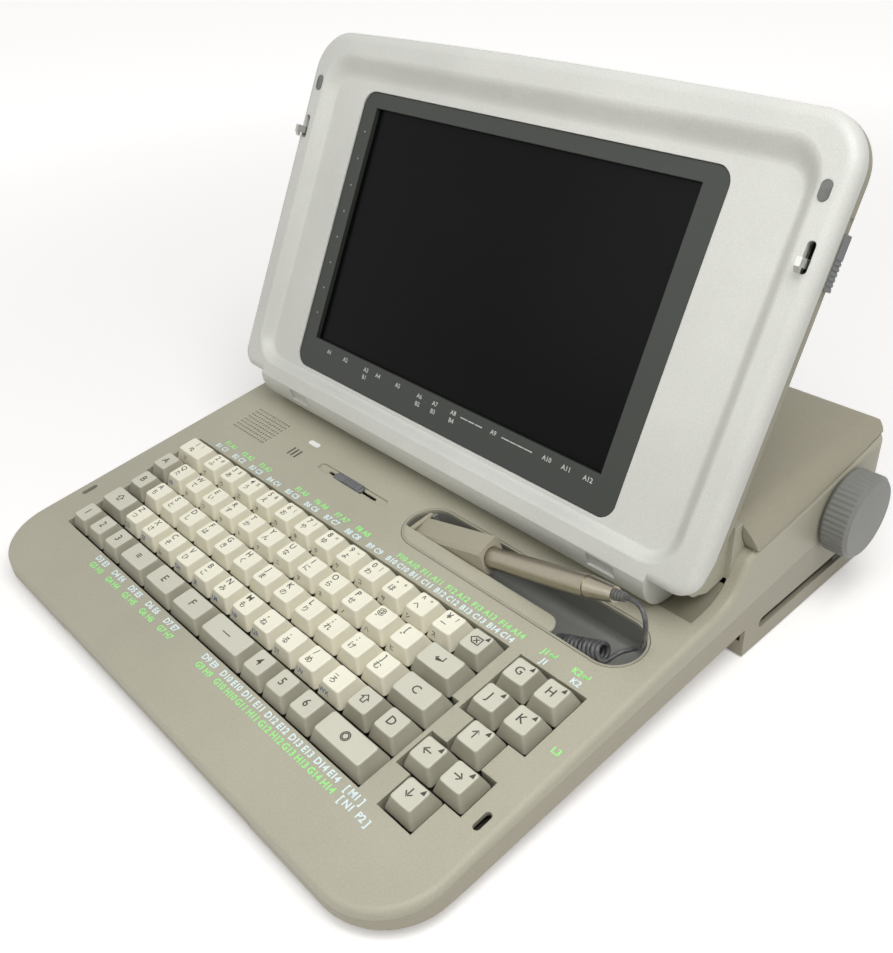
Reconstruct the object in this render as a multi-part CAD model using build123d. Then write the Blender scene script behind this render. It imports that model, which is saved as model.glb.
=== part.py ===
from build123d import *
import math
import os

# A portable word processor: a wedge-shaped base with a keyboard, a lid with a screen that
# folds over it, and a printer block behind.  Millimetres.  The origin is on the surface that
# it stands on, in the middle of its outer box; +X is to the user's right, +Y to the rear.

# ------------------------------------------------------------------ driving sizes: case
body_width = 363.0
body_depth = 362.0
wall = 2.5
front_corner_radius = 35.0
rear_corner_radius = 12.0
deck_tilt = 7.0               # degrees, the deck rises to the rear
deck_front_height = 17.6      # of the deck plane, at the front edge
deck_edge_radius = 3.0
seam_front_height = 12.2      # the seam between lower and upper case, at the front edge
seam_knee_depth = 46.0        # back from the front edge
seam_knee_height = 19.0
seam_rear_height = 43.9
base_clearance = 7.5          # the keyboard half stands this high
rear_clearance = 1.0          # the printer block stands this high
printer_depth = 125.0         # the printer block, from the rear wall
printer_height = 84.5
printer_shoulder_radius = 14.0
printer_front_height = 66.5   # the top of the side walls at the front of the printer block
printer_wall_rise = 12.0      # the side walls rise by this much to the rear
side_chamfer_rise = 11.5      # of the slanted lower edge, where the deck meets the printer
side_chamfer_inset = 9.0
part_gap = 0.3                # between mouldings that only lie side by side
fit_gap = 0.05                # radial, between a pin and its bore
foot_radius = 8.0
foot_seat = 1.2               # feet are let into the case by this much

# ------------------------------------------------------------------ driving sizes: hinge and lid
hinge_back = 211.0            # along the deck, from its front edge
closed_gap = 0.8              # between the closed lid and the deck
axis_depth = 19.3             # the hinge axis lies this far behind the lid's front
axis_drop = 1.5               # and this far below the lid's datum line
lid_angle = 63.0              # degrees from the horizontal, leaning back
lid_width = 360.5
lid_height = 218.0
lid_toe = 10.0                # the lid reaches this far below its datum line
lid_thickness = 20.0
lid_crown = 2.5               # the top edge is bowed by this much
lid_top_radius = 25.0
lid_toe_radius = 12.0
lid_front_radius = 6.0
lid_back_radius = 9.0
bezel_depth = 8.6
dish_half_width = 158.0       # of the bezel's dished floor, past the outermost keys
dish_low = 4.0
dish_high = 181.0
dish_radius = 11.0
dish_side_slope = 9.0         # from the floor out to the rim, at the sides
dish_top_slope = 13.0         # and above
dish_low_slope = 6.0          # and below
dish_steps = 6                # sections that the slope is drawn through
dish_depth = 6.3
neck_width = 310.0
neck_radius = 21.0
neck_end_angle = 282.0
neck_wall = 2.4
knuckle_radius = 9.5
toe_chamfer_start = 1.5       # thickness of the lid's thin lower corners at the toe
toe_chamfer_slope = 0.32
trough_gap = 1.3              # between the neck and the trough that it turns in
trough_wall = 2.4
tower_width = 14.5
tower_gap = 2.0               # between the neck's end and the tower
recess_margin = 2.0           # between the tower and the cheek
boss_radius = 9.0
pin_radius = 3.0
pin_grip = 12.0               # of the hinge pin, in the tower and in the neck
screen_frame_width = 256.0
screen_frame_height = 170.0
screen_frame_drop = 6.0       # above the lid's datum line
screen_frame_offset = -4.0    # to the left of the middle
screen_frame_radius = 9.0
screen_frame_step = 0.8       # below the dish
screen_frame_sheet = 2.2
screen_width = 230.0
screen_height = 141.5
screen_drop = 25.5
screen_offset = -5.0
screen_thickness = 5.0
screen_margin = 4.0           # of the panel behind its frame
bumper_up = 173.5
bumper_side = 170.0
bumper_proud = 0.5
hook_side = 173.0
hook_up = 144.0
hook_width = 2.5
hook_length = 4.0
hook_nose = 2.5
hook_slot_width = 4.0
hook_slot_length = 14.0
latch_travel = 4.0
slider_up = 148.0
slider_length = 24.0
slider_groove = 35.0
slider_height = 6.0

# ------------------------------------------------------------------ driving sizes: keyboard
key_pitch = 19.0
key_gap = 0.8                 # between neighbouring caps, at their skirts
key_rise = 5.7                # of the key tops above the deck
cap_height = 8.5
cap_taper = 3.1               # from the skirt to the top face, on each side
cap_corner = 1.3
cap_edge = 0.5
key_stem = 4.8
key_stem_length = 5.4
stem_gap = 0.25
key_block_left = -159.1       # from the deck's middle
key_block_back = 136.0        # along the deck, from its front edge
well_margin = 1.2
skirt_wall = 1.6
skirt_depth = 7.0             # below the deck, where the keyboard's plate lies
plate_thickness = 1.2
plate_margin = 3.0
membrane_depth = 11.4         # below the deck
membrane_thickness = 0.7

# ------------------------------------------------------------------ driving sizes: pen and its tray
tray_left = 9.0               # from the deck's middle
tray_right = 169.0
tray_front = 154.8            # along the deck, from its front edge
tray_back = 187.6
tray_depth = 20.6
tray_rim = 1.3
tray_round = 6.0
plate_back = 164.6            # the flush plate over the cord
plate_right = 126.0
plate_sheet = 2.0
holder_left = 9.9
holder_length = 62.0
holder_width = 14.8
holder_top = 9.6              # of its higher edge above the pen's axis
holder_top_fall = 2.2
holder_low = 7.0
holder_corner = 1.6
pivot_in = 4.0                # of the holder's pivot, from its left end
pivot_down = 3.5
pivot_radius = 1.5
holder_rise = 17.2            # degrees, at rest
pen_line = 172.6              # along the deck, from its front edge
pen_depth = 13.2              # of the pen's axis below the deck, when folded away
pen_radius = 5.7
pen_bore_gap = 0.15
pen_tip = 19.0                # from the deck's middle, inside the holder
pen_ring = 141.0
pen_tail = 157.0
pen_tail_radius = 3.8
pen_groove = 0.5
relief_length = 6.5
relief_radius = 2.8
relief_ribs = 4
cord_diameter = 2.3
coil_diameter = 10.4          # outside
coil_pitch = 3.0
coil_turns = 11
coil_lead = 0.25              # turns left off at its right end, where it starts at the bottom
coil_left = 126.5             # of its axis's left end, on the deck
coil_line = 161.5
coil_depth = 12.5
coil_tilt = 26.5              # degrees, its right end is lifted by the cord
cord_first = 5.6              # the cord's first run, straight out of the pen
cord_last = 5.5               # and its last, straight into the coil
cord_route = [                # the points between them, on the deck
    (170.4, 171.0, 31.4), (173.3, 168.9, 26.4), (172.8, 168.7, 18.8),
    (170.2, 170.6, 10.6), (166.6, 172.4, 3.6), (161.6, 171.1, -0.2),
]

# ------------------------------------------------------------------ driving sizes: deck details
speaker_x = -138.0
speaker_back = 170.6
speaker_columns = 14
speaker_rows = 8
speaker_hole = 0.75
speaker_pitch_x = 2.5
speaker_pitch_y = 3.0
speaker_radius = 15.0
speaker_height = 6.0
slit_x = -95.5
slit_back = 166.5
slit_pitch = 3.4
slit_width = 1.4
slit_length = 7.0
lamp_x = -92.0
lamp_back = 179.6
lamp_width = 10.0
lamp_length = 3.6
lamp_flange = 1.2
contrast_x = -41.0
contrast_back = 168.6
contrast_length = 62.0
contrast_width = 6.0
contrast_slot = 2.0
contrast_slot_length = 44.0
contrast_recess = 1.2
contrast_knob_length = 16.0
handle_width = 178.0
handle_left = -83.0           # its left end, from the middle of the case
handle_depth = 14.0
handle_height = 4.4
handle_pull = 20.0
handle_bar = 8.0
handle_arm = 12.0
handle_sheet = 1.8
handle_stop = 2.0

# ------------------------------------------------------------------ driving sizes: printer and drive
knob_radius = 23.0
knob_reach = 16.0             # out of the right wall
knob_back = 45.0              # of the platen axis, from the rear wall
knob_height = 52.0
knob_flutes = 48
knob_flute_depth = 0.5
knob_rim = 2.0
knob_gap = 0.7
platen_radius = 14.0
platen_length = 280.0
shaft_radius = 3.0
printer_span = 300.0          # between the outsides of the printer's side plates
side_plate = 3.0
printer_floor_height = 29.0
printer_plate_rise = 40.0
rail_ahead = 34.0             # of the carriage rail, from the platen axis
rail_drop = 8.0
rail_radius = 4.0
head_width = 42.0
head_height = 30.0
head_depth = 16.0
head_home = -108.0
paper_slot_length = 250.0
paper_slot_width = 9.0
paper_slot_back = 26.0        # from the rear wall
cover_gap = 0.6
cover_top_fall = 1.0           # of the cover's top, from its rear edge to its front
cover_rear_radius = 5.0
cover_ear = 100.0
cover_ear_width = 6.0
cover_ear_radius = 1.3
cover_pin = 0.8
cover_pin_length = 4.0
cover_axis_in = 1.3           # of the cover's hinge, from the rear wall's face
cover_axis_down = 2.0         # and below the wall's top
lug_depth = 3.5
lug_height = 8.0
drive_width = 101.6
drive_depth = 110.0
drive_height = 14.5
drive_back = 65.0             # of its middle, from the rear wall
bay_width = 94.0              # of the opening in the case
bay_height = 6.6
bay_low = 10.9
disk_width = 91.0
disk_depth = 92.0
disk_height = 4.6
disk_low = 13.4
flap_sheet = 1.0
eject_width = 9.0
eject_height = 1.8
eject_low = 11.1
eject_length = 8.0
eject_travel = 2.5
supply_width = 96.0
supply_depth = 96.0
supply_height = 19.0
board_depth = 66.0
board_width = 300.0
board_sheet = 1.6
switch_height = 10.0
switch_width = 15.0
switch_tilt = 8.0
inlet_width = 27.0
inlet_height = 20.0
inlet_depth = 16.0
inlet_pin = 8.5
screw_radius = 1.5
screw_head = 3.0
screw_head_height = 2.0
screw_boss = 3.8
screw_length = 7.0

# ------------------------------------------------------------------ driving sizes: keyboard layout
# Node, row from the back, start and widths in key pitches.
white_row = 12 * [1]
key_groups = {
    "keys_number_row": [(0, 0, [1.5] + white_row)],
    "key_backspace": [(0, 13.5, [1])],
    "keys_side": [(1, 0, [1]), (2, 0.25, [1])],
    "keys_upper_row": [(1, 1, white_row)],
    "key_enter": [(1, 13, [1.5])],
    "keys_home_row": [(2, 1.25, white_row)],
    "keys_mode": [(2, 13.25, [1.5]), (3, 13.75, [1])],
    "key_left_shift": [(3, 0.25, [1.5])],
    "keys_lower_row": [(3, 1.75, white_row[1:])],
    "key_right_shift": [(3, 12.75, [1])],
    "keys_function": [(4, 0.25, 3 * [1]), (4, 9.75, 3 * [1])],
    "key_menu": [(4, 3.25, [1.5])],
    "keys_convert": [(4, 4.75, [1.5, 1.5])],
    "key_space": [(4, 7.75, [2])],
    "key_execute": [(4, 12.75, [2])],
    "keys_edit": [(0, 15, [1, 1]), (1, 15, [1, 1])],
    "key_up": [(2, 15.5, [1])],
    "key_left": [(3, 15, [1])],
    "key_right": [(3, 16, [1])],
    "key_down": [(4, 15.5, [1])],
}
# Row from the back, start and end in key pitches, of the openings that the caps stand in.
well_spans = [
    (0, 0, 14.5), (1, 0, 14.5), (2, 0.25, 14.75), (3, 0.25, 14.75), (4, 0.25, 14.75),
    (0, 15, 17), (1, 15, 17), (2, 15.5, 16.5), (3, 15, 17), (4, 15.5, 16.5),
]

# ------------------------------------------------------------------ driving sizes: hinge towers
# The hinge tower in side view: radius and angle round the hinge axis, seen from the right.
tower_outline = [
    (6.6, 213.0), (9.7, 274.0), (13.7, 298.0), (21.0, 329.0), (31.1, 343.4),
    (32.0, 358.4), (30.6, 7.9), (28.9, 19.6), (29.6, 29.8), (32.7, 38.0), (26.5, 47.8),
]
tower_back = tower_outline[5:10]      # the stretch that the printer's cover lies against
tower_foot = 20.0                     # the towers join the case this far behind the axis

# ------------------------------------------------------------------ driving sizes: lower case
step_run = 2.5                        # the keyboard half's floor turns down over this length
chamfer_from = 45.0                   # of the slanted side edges, from the front edge
pillar_height = 2.5
screw_places = [                      # from the middle of the case, and along the model's Y
    (-120.0, -160.0), (120.0, -160.0), (-168.0, -36.0), (168.0, -36.0),
    (-170.0, 173.5), (170.0, 173.5),
]
foot_places = [(-138.0, -136.0), (138.0, -136.0), (-140.0, 150.0), (140.0, 150.0)]
board_y = -25.0
tray_posts = [(-60.0, 75.0), (50.0, 75.0), (-140.0, 170.6), (140.0, 170.6)]
post_radius = 3.5
arm_gap = 0.3
inlet_x = -115.0
switch_x = -150.0
port_height = 22.0                    # of the inlet's and the switch's middles
rib_places = (-145.0, -72.0, 0.0, 72.0, 130.0)
rib_sheet = 2.0

# ------------------------------------------------------------------ driving sizes: latch slots, tray lugs
catch_back = 63.5                     # of the latch slots, from the deck's front edge
catch_length = 10.0
catch_width = 3.6
lug_gap = 0.3

# ------------------------------------------------------------------ driving sizes: inside the lid
channel_depth = 3.0
pin_wall = 4.0
cable_width = 40.0
cable_height = 5.0
bumper_length = 9.0
bumper_width = 5.0
bumper_seat = 0.8
neck_marks = (-115.5, 129.0)
mark_width = 17.0
mark_depth = 1.4

# ------------------------------------------------------------------ driving sizes: rocker switch and pen pivot
switch_pin = 1.0
switch_pin_length = 1.5
switch_in = 3.6
pivot_grip = 1.6

# ------------------------------------------------------------------ driving sizes: release slider
slider_depth = 13.0
slider_stem = 2.4
slider_sink = 1.2

# ------------------------------------------------------------------ derived places
front_y = -body_depth / 2
rear_y = body_depth / 2
mid_x = -knob_reach / 2
half_width = body_width / 2
right_x = mid_x + half_width
left_x = mid_x - half_width
printer_y = rear_y - printer_depth
slope = math.tan(math.radians(deck_tilt))
sin_tilt = math.sin(math.radians(deck_tilt))
cos_tilt = math.cos(math.radians(deck_tilt))
deck = Plane(
    origin=(mid_x, front_y, deck_front_height),
    x_dir=(1, 0, 0),
    z_dir=(0, -sin_tilt, cos_tilt),
)
hinge_rise = axis_depth + closed_gap
hinge = deck.from_local_coords(Vector(0, hinge_back, hinge_rise))
lid_cos = math.cos(math.radians(lid_angle))
lid_sin = math.sin(math.radians(lid_angle))
lid = Plane(
    origin=(
        mid_x,
        hinge.Y + axis_drop * lid_cos - axis_depth * lid_sin,
        hinge.Z + axis_drop * lid_sin + axis_depth * lid_cos,
    ),
    x_dir=(1, 0, 0),
    z_dir=(0, -lid_sin, lid_cos),
)
trough_radius = neck_radius + trough_gap
neck_half = neck_width / 2
tower_inner = neck_half + tower_gap
tower_outer = tower_inner + tower_width
cheek_inner = tower_outer + recess_margin
far = 400.0                   # longer than anything that it cuts
drive_face = right_x - wall
drive_y = rear_y - drive_back
eject_y = drive_y + 32.0
coil_radius = (coil_diameter - cord_diameter) / 2


def deck_height(y):
    """Height of the deck plane at a place along the model's Y."""
    return deck_front_height + (y - front_y) * slope


def seam_points(drop=0.0):
    """The seam between lower and upper case, from before the front to behind the rear."""
    knee_y = front_y + seam_knee_depth
    front_slope = (seam_knee_height - seam_front_height) / seam_knee_depth
    rear_slope = (seam_rear_height - seam_knee_height) / (rear_y - knee_y)
    over = wall * 2
    return [
        (front_y - over, seam_front_height - over * front_slope - drop),
        (knee_y, seam_knee_height - drop),
        (rear_y + over, seam_rear_height + over * rear_slope - drop),
    ]


def wall_top(y):
    """Height of the printer block's side walls, where its cover sits."""
    return printer_front_height + (y - printer_y) / printer_depth * printer_wall_rise


def bar(face, x_from, x_to):
    """A section drawn in Y and Z, drawn out along X."""
    return Pos(x_from, 0, 0) * extrude(Plane.YZ * face, amount=x_to - x_from)


def poly(*points):
    return make_face(Polyline(*points, close=True))


def round_hinge(radius, start, end):
    """A slice of a disc round the hinge axis, between two angles seen from the right."""
    centre = (hinge.Y, hinge.Z)
    arc = CenterArc(centre, radius, start, end - start)
    return make_face([Line(centre, arc @ 0), arc, Line(arc @ 1, centre)])


def at_hinge(radius, angle):
    turn = math.radians(angle)
    return (hinge.Y + radius * math.cos(turn), hinge.Z + radius * math.sin(turn))


def plan(inset, low, high):
    """The case's outline seen from above, as a solid."""
    sheet = Rectangle(body_width - 2 * inset, body_depth - 2 * inset)
    corners = sheet.vertices().sort_by(Axis.Y)
    sheet = fillet(corners[:2], front_corner_radius - inset)
    corners = [v for v in sheet.vertices() if v.Y > body_depth / 2 - inset - wall]
    sheet = fillet(corners, rear_corner_radius - inset)
    return Pos(mid_x, 0, low) * extrude(sheet, amount=high - low)


def block(x_size, y_size, z_size, x, y, z):
    """A box from its low corner in Z and its middle in X and Y."""
    return Pos(x, y, z + z_size / 2) * Box(x_size, y_size, z_size)


def rod(radius, x_from, x_to, y, z):
    return Pos((x_from + x_to) / 2, y, z) * Rot(0, 90, 0) * Cylinder(radius, x_to - x_from)


# ------------------------------------------------------------------ keyboard layout
def key_cells(runs):
    """Middle and width of each key of a group, on the deck."""
    cells = []
    for row, start, widths in runs:
        left = key_block_left + start * key_pitch
        middle_y = key_block_back - (row + 0.5) * key_pitch
        for width in widths:
            cells.append((left + width * key_pitch / 2, middle_y, width))
            left += width * key_pitch
    return cells


def cap(width):
    """One key: a tapered cap with a stem, its top face at the height that it has at rest."""
    long = width * key_pitch - key_gap
    deep = key_pitch - key_gap
    low = Plane.XY.offset(key_rise - cap_height) * Rectangle(long, deep)
    high = Plane.XY.offset(key_rise) * Rectangle(long - 2 * cap_taper, deep - 2 * cap_taper)
    body = loft([low, high], ruled=True)
    corners = [edge for edge in body.edges() if abs((edge % 0.5).Z) > 0.5]
    body = fillet(corners, cap_corner)
    top_edges = body.faces().sort_by(Axis.Z)[-1].edges()
    body = chamfer(top_edges, cap_edge)
    stem_low = key_rise - cap_height - key_stem_length
    return body + block(key_stem, key_stem, key_stem_length, 0, 0, stem_low)


def keys():
    shapes = {width: cap(width) for width in (1, 1.5, 2)}
    nodes = {}
    for name, runs in key_groups.items():
        solids = [
            deck * Pos(x, y, 0) * shapes[width]
            for x, y, width in key_cells(runs)
        ]
        nodes[name] = Compound(children=solids) if len(solids) > 1 else solids[0]
    return nodes


def all_cells():
    return [cell for runs in key_groups.values() for cell in key_cells(runs)]


def wells(margin, low, high):
    """The keyboard's two openings, with a margin round them."""
    pieces = None
    for row, start, end in well_spans:
        length = (end - start) * key_pitch + 2 * margin
        middle_x = key_block_left + (start + end) / 2 * key_pitch
        middle_y = key_block_back - (row + 0.5) * key_pitch
        cell = block(length, key_pitch + 2 * margin, high - low, middle_x, middle_y, low)
        pieces = cell if pieces is None else pieces + cell
    return deck * pieces


# ------------------------------------------------------------------ shared outlines
def tower_profile():
    """Side view of a hinge tower, a lobe that leans out of the printer block over the axis."""
    lobe = poly(*[at_hinge(radius, angle) for radius, angle in tower_outline])
    return lobe + Pos(hinge.Y, hinge.Z) * Circle(boss_radius)


def cover_block(inset):
    """The printer cover's outside, or its inside at the thickness of its wall."""
    back = [at_hinge(radius + cover_gap + inset, angle) for radius, angle in tower_back]
    back[0] = (printer_y + part_gap + cover_gap + inset, wall_top(printer_y) + cover_gap)
    top_front = (back[-1][0], printer_height - cover_top_fall - inset)
    low = wall_top(rear_y) + cover_gap
    sink = inset * 4
    profile = poly(
        (back[0][0], back[0][1] - sink), *back[1:-1], top_front,
        (rear_y - inset, printer_height - inset), (rear_y - inset, low - sink),
    )
    corner = profile.vertices().group_by(Axis.X)[-1].sort_by(Axis.Y)[-1]
    profile = fillet(corner, cover_rear_radius - inset)
    shoulders = Rectangle(body_width - 2 * inset, printer_height)
    top = shoulders.vertices().group_by(Axis.Y)[-1]
    shoulders = fillet(top, printer_shoulder_radius - inset)
    fall = math.degrees(math.atan(cover_top_fall / printer_depth))
    arch = Plane.XZ * (Pos(0, -printer_height / 2 - inset) * shoulders)
    arch = extrude(arch, amount=printer_depth + far / 10)
    arch = Pos(mid_x, rear_y, printer_height) * Rot(fall, 0, 0) * arch
    arch = arch & plan(inset, 0, far)
    return bar(profile, left_x, right_x) & arch


def lid_outline(inset):
    """The lid's outline in its own plane, with a bowed top edge."""
    side = lid_width / 2 - inset
    low = -lid_toe + inset
    shoulder = lid_height - lid_toe - lid_crown - inset
    crown = lid_height - lid_toe - inset
    outline = [
        Polyline((-side, shoulder), (-side, low), (side, low), (side, shoulder)),
        ThreePointArc((side, shoulder), (0, crown), (-side, shoulder)),
    ]
    sheet = make_face(outline)
    top = sheet.vertices().sort_by(Axis.Y)[-2:]
    sheet = fillet(top, lid_top_radius - inset)
    toe = sheet.vertices().sort_by(Axis.Y)[:2]
    return fillet(toe, max(lid_toe_radius - inset, wall))


def lid_sheet(face, front, back):
    """A flat shape of the lid, between two depths behind its front."""
    return lid * Pos(0, 0, -back) * extrude(face, amount=back - front)


def lid_bar(face, x_from, x_to):
    """A section drawn up the lid and out of its front, drawn out along X."""
    section = Plane(origin=(0, 0, 0), x_dir=(0, 1, 0), z_dir=(1, 0, 0))
    return lid * Pos(x_from, 0, 0) * extrude(section * face, amount=x_to - x_from)


def toe_wedge(inset):
    """What is cut off the back of the lid's lower corners, beside the neck."""
    start = -toe_chamfer_start + inset
    low = -lid_toe - lid_toe_radius
    high = (lid_thickness + wall) / toe_chamfer_slope - lid_toe
    end = start - (high + lid_toe) * toe_chamfer_slope
    face = poly((low, start), (-lid_toe, start), (high, end), (low, end))
    left = lid_bar(face, -lid_width, -neck_half - part_gap - inset)
    right = lid_bar(face, neck_half + part_gap + inset, lid_width)
    return left + right


def neck_section(inset, front):
    """The neck's section round the hinge axis, drawn up the lid and out of its front."""
    top = knuckle_radius - axis_drop - inset
    outer = neck_radius - inset
    bead = knuckle_radius - inset
    crease = -axis_drop - math.sqrt(outer ** 2 - (axis_depth - front) ** 2)

    def round_axis(radius, angle):
        turn = math.radians(angle - lid_angle)
        return (-axis_drop + radius * math.cos(turn), -axis_depth + radius * math.sin(turn))

    first = math.degrees(math.atan2(axis_depth - front, crease + axis_drop)) + lid_angle
    last = neck_end_angle - math.degrees(inset / outer)
    bead_start = neck_end_angle - math.degrees(inset / bead)
    bead_end = lid_angle + 360.0 - math.degrees(math.acos(min(1, (top + axis_drop) / bead)))
    end = round_axis(bead, bead_end)
    return make_face(
        [
            Line((top, -front), (crease, -front)),
            ThreePointArc(
                (crease, -front), round_axis(outer, (first + last) / 2), round_axis(outer, last)
            ),
            Line(round_axis(outer, last), round_axis(bead, bead_start)),
            ThreePointArc(
                round_axis(bead, bead_start), round_axis(bead, (bead_start + bead_end) / 2), end
            ),
            Line(end, (top, -front)),
        ]
    )


# ------------------------------------------------------------------ lower case
def floor_at(y):
    """Height of the outside of the case's floor."""
    return rear_clearance if y > printer_y else base_clearance


def side_chamfers(inset):
    """What is cut off the lower edges of both sides, growing to the rear."""
    start = Vector(half_width, front_y + chamfer_from, base_clearance)
    end = Vector(half_width, printer_y, base_clearance + side_chamfer_rise)
    foot = Vector(half_width - side_chamfer_inset, printer_y, base_clearance)
    outward = (foot - start).cross(end - start).normalized()
    plane = Plane(origin=start - outward * inset, x_dir=end - start, z_dir=outward)
    side = plane * Pos(0, 0, far / 4) * Box(far * 2, far, far / 2)
    side = side & block(far, far, far, half_width, printer_y - far / 2, -far / 2)
    return Pos(mid_x, 0, 0) * (side + mirror(side, Plane.YZ))


def lower_outline(inset, top):
    floor = base_clearance + inset
    rear_floor = rear_clearance + inset
    over = wall * 2
    return [
        (front_y - over, floor), (printer_y - step_run + inset, floor),
        (printer_y + inset, rear_floor), (rear_y + over, rear_floor), *top,
    ]


def lower_case():
    seam = seam_points()
    body = bar(poly(*lower_outline(0, reversed(seam))), left_x, right_x) & plan(0, 0, far)
    body = body - side_chamfers(0)
    lid_off = [(rear_y + wall * 2, printer_height), (front_y - wall * 2, printer_height)]
    room = bar(poly(*lower_outline(wall, lid_off)), left_x, right_x) & plan(wall, 0, far)
    body = body - (room - side_chamfers(wall))
    body = body + handle_wall() + keyboard_ribs()
    for x, y in screw_places:
        body = body + screw_pillar(x, y)
    for side in (-1, 1):
        for end in (-1, 1):
            x = side * (board_width / 2 - post_radius * 2)
            y = board_y + end * (board_depth / 2 - post_radius * 2)
            body = body + post(x, y, base_clearance + wall + pillar_height)
    for x, y in tray_posts:
        body = body + post(x, y, printer_floor_height - wall)
    body = body - handle_recess() - bay_opening() - rear_ports()
    for x, y in foot_places:
        body = body - Pos(mid_x + x, y, floor_at(y) + foot_seat / 2) * Cylinder(foot_radius, foot_seat)
    for x, y in screw_places:
        body = body - screw_hole(x, y)
    return body


def post(x, y, top):
    low = floor_at(y) + wall / 2
    return Pos(mid_x + x, y, (low + top) / 2) * Cylinder(post_radius, top - low)


def screw_pillar(x, y):
    low = floor_at(y) + wall / 2
    height = wall / 2 + pillar_height
    return Pos(mid_x + x, y, low + height / 2) * Cylinder(screw_boss + wall, height)


def screw_hole(x, y):
    low = floor_at(y)
    seat = low + pillar_height
    head = Pos(mid_x + x, y, (low + seat) / 2) * Cylinder(screw_head + part_gap, seat - low)
    shaft = Pos(mid_x + x, y, seat) * Cylinder(screw_radius + part_gap, far / 10)
    return head + shaft & block(far * 2, far * 2, wall + pillar_height * 2, 0, 0, low)


def handle_arms(extra, low, high, y_from, y_to):
    """The two places where the handle's arms run, widened by a gap."""
    arms = None
    for end in (-1, 1):
        x = handle_left + handle_width / 2 + end * (handle_width - handle_arm) / 2
        arm = block(handle_arm + 2 * extra, y_to - y_from, high - low,
                    mid_x + x, (y_from + y_to) / 2, low)
        arms = arm if arms is None else arms + arm
    return arms


def handle_wall():
    """The rear wall of the handle's recess."""
    y = front_y + handle_depth + wall / 2
    top = seam_front_height + handle_depth / seam_knee_depth * (seam_knee_height - seam_front_height)
    low = base_clearance + wall / 2
    width = handle_width + 2 * (wall + arm_gap)
    return block(width, wall, top - low, mid_x + handle_left + handle_width / 2, y, low)


def handle_recess():
    front = front_y - wall
    x = mid_x + handle_left + handle_width / 2
    recess = block(handle_width + 2 * arm_gap, handle_depth + wall, far / 10,
                   x, front + (handle_depth + wall) / 2, 0)
    low = base_clearance + wall - arm_gap
    high = base_clearance + wall + handle_sheet + arm_gap
    slots = handle_arms(arm_gap, low, high, front_y, front_y + handle_depth + wall * 2)
    return recess + slots


def keyboard_ribs():
    """Ribs under the keyboard, up to the underside of its membrane."""
    drop = (membrane_depth + membrane_thickness) / cos_tilt
    start = front_y + handle_depth + handle_pull + wall * 4
    end = board_y - board_depth / 2 - wall
    low = base_clearance + wall / 2
    section = poly((start, low), (end, low), (end, deck_height(end) - drop),
                   (start, deck_height(start) - drop))
    ribs = None
    for x in rib_places:
        rib = bar(section, mid_x + x - rib_sheet / 2, mid_x + x + rib_sheet / 2)
        ribs = rib if ribs is None else ribs + rib
    return ribs


def bay_opening():
    """The opening for disks in the right side wall, with rounded ends."""
    middle_z = bay_low + bay_height / 2
    face = Pos(rear_y - drive_back, middle_z) * SlotOverall(bay_width, bay_height)
    return bar(face, right_x - wall * 1.5, right_x + wall)


def rear_ports():
    inlet = block(inlet_width, wall * 3, inlet_height, mid_x + inlet_x, rear_y,
                  port_height - inlet_height / 2)
    switch = block(switch_width + 2 * part_gap, wall * 3, switch_height + 2 * part_gap,
                   mid_x + switch_x, rear_y, port_height - switch_height / 2 - part_gap)
    return inlet + switch


# ------------------------------------------------------------------ upper case
def stadium(inset):
    length = tray_right - tray_left - 2 * inset
    width = tray_back - tray_front - 2 * inset
    middle = Pos((tray_left + tray_right) / 2, (tray_front + tray_back) / 2)
    return middle * SlotOverall(length, width)


def deck_cut(face, low, high):
    """A flat shape on the deck, between two heights over it."""
    return deck * Pos(0, 0, low) * extrude(face, amount=high - low)


def cheek_curve():
    """From the deck up to the top of the printer block's side walls."""
    foot = printer_y - 27.0
    return Spline(
        (foot, deck_height(foot)),
        (printer_y - 12.4, deck_height(printer_y - 12.4) + 5.0),
        (printer_y - 6.0, wall_top(printer_y) - 5.0),
        (printer_y, wall_top(printer_y)),
        tangents=[(1, slope), (1, 0.3)],
    )


def upper_section():
    seam = seam_points()
    over = wall * 2
    curve = cheek_curve()
    rear_top = (rear_y + over, wall_top(rear_y + over))
    front_top = (front_y - over, deck_height(front_y - over))
    lines = Polyline(curve @ 1, rear_top, *reversed(seam), front_top, curve @ 0)
    return make_face([curve, lines])


def case_room():
    """The hollow inside of the upper case: under the deck, and the open printer block."""
    under = deck_thickness_down()
    tall = far / 2
    start = printer_y + wall
    profile = poly(
        (front_y - wall, 0), (rear_y + wall, 0), (rear_y + wall, tall), (start, tall),
        (start, deck_height(start) - under), (front_y - wall, deck_height(front_y - wall) - under),
    )
    return bar(profile, left_x, right_x) & plan(wall, 0, far)


def deck_thickness_down():
    return wall / cos_tilt


def upper_case():
    body = bar(upper_section(), left_x, right_x) & plan(0, 0, far)
    rim = [
        edge for edge in body.edges()
        if on_outer_wall(edge) and above_deck(edge) and abs((edge % 0.5).Z) < 0.9
    ]
    body = fillet(rim, deck_edge_radius)
    body = body - case_room()
    body = body - block(2 * cheek_inner, printer_depth, far, mid_x,
                        opening_y() + printer_depth / 2, deck_height(opening_y()) - wall * 2)
    body = body + towers()
    body = body + (wells(well_margin + skirt_wall, -skirt_depth, -wall / 2))
    body = body - wells(well_margin, -skirt_depth - wall, wall)
    for x, y in screw_places:
        body = body + screw_column(x, y)
    body = body - deck_cut(stadium(-part_gap), -wall * 2, wall)
    for side in (-1, 1):
        slot = Pos(side * hook_side, catch_back) * SlotOverall(catch_length, catch_width, 90)
        body = body - deck_cut(slot, -wall * 2, wall)
    body = body - speaker_holes() - contrast_recess_cut() - lamp_cut()
    body = body + cover_lugs()
    body = body - cover_notches() - knob_hole()
    return body


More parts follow.
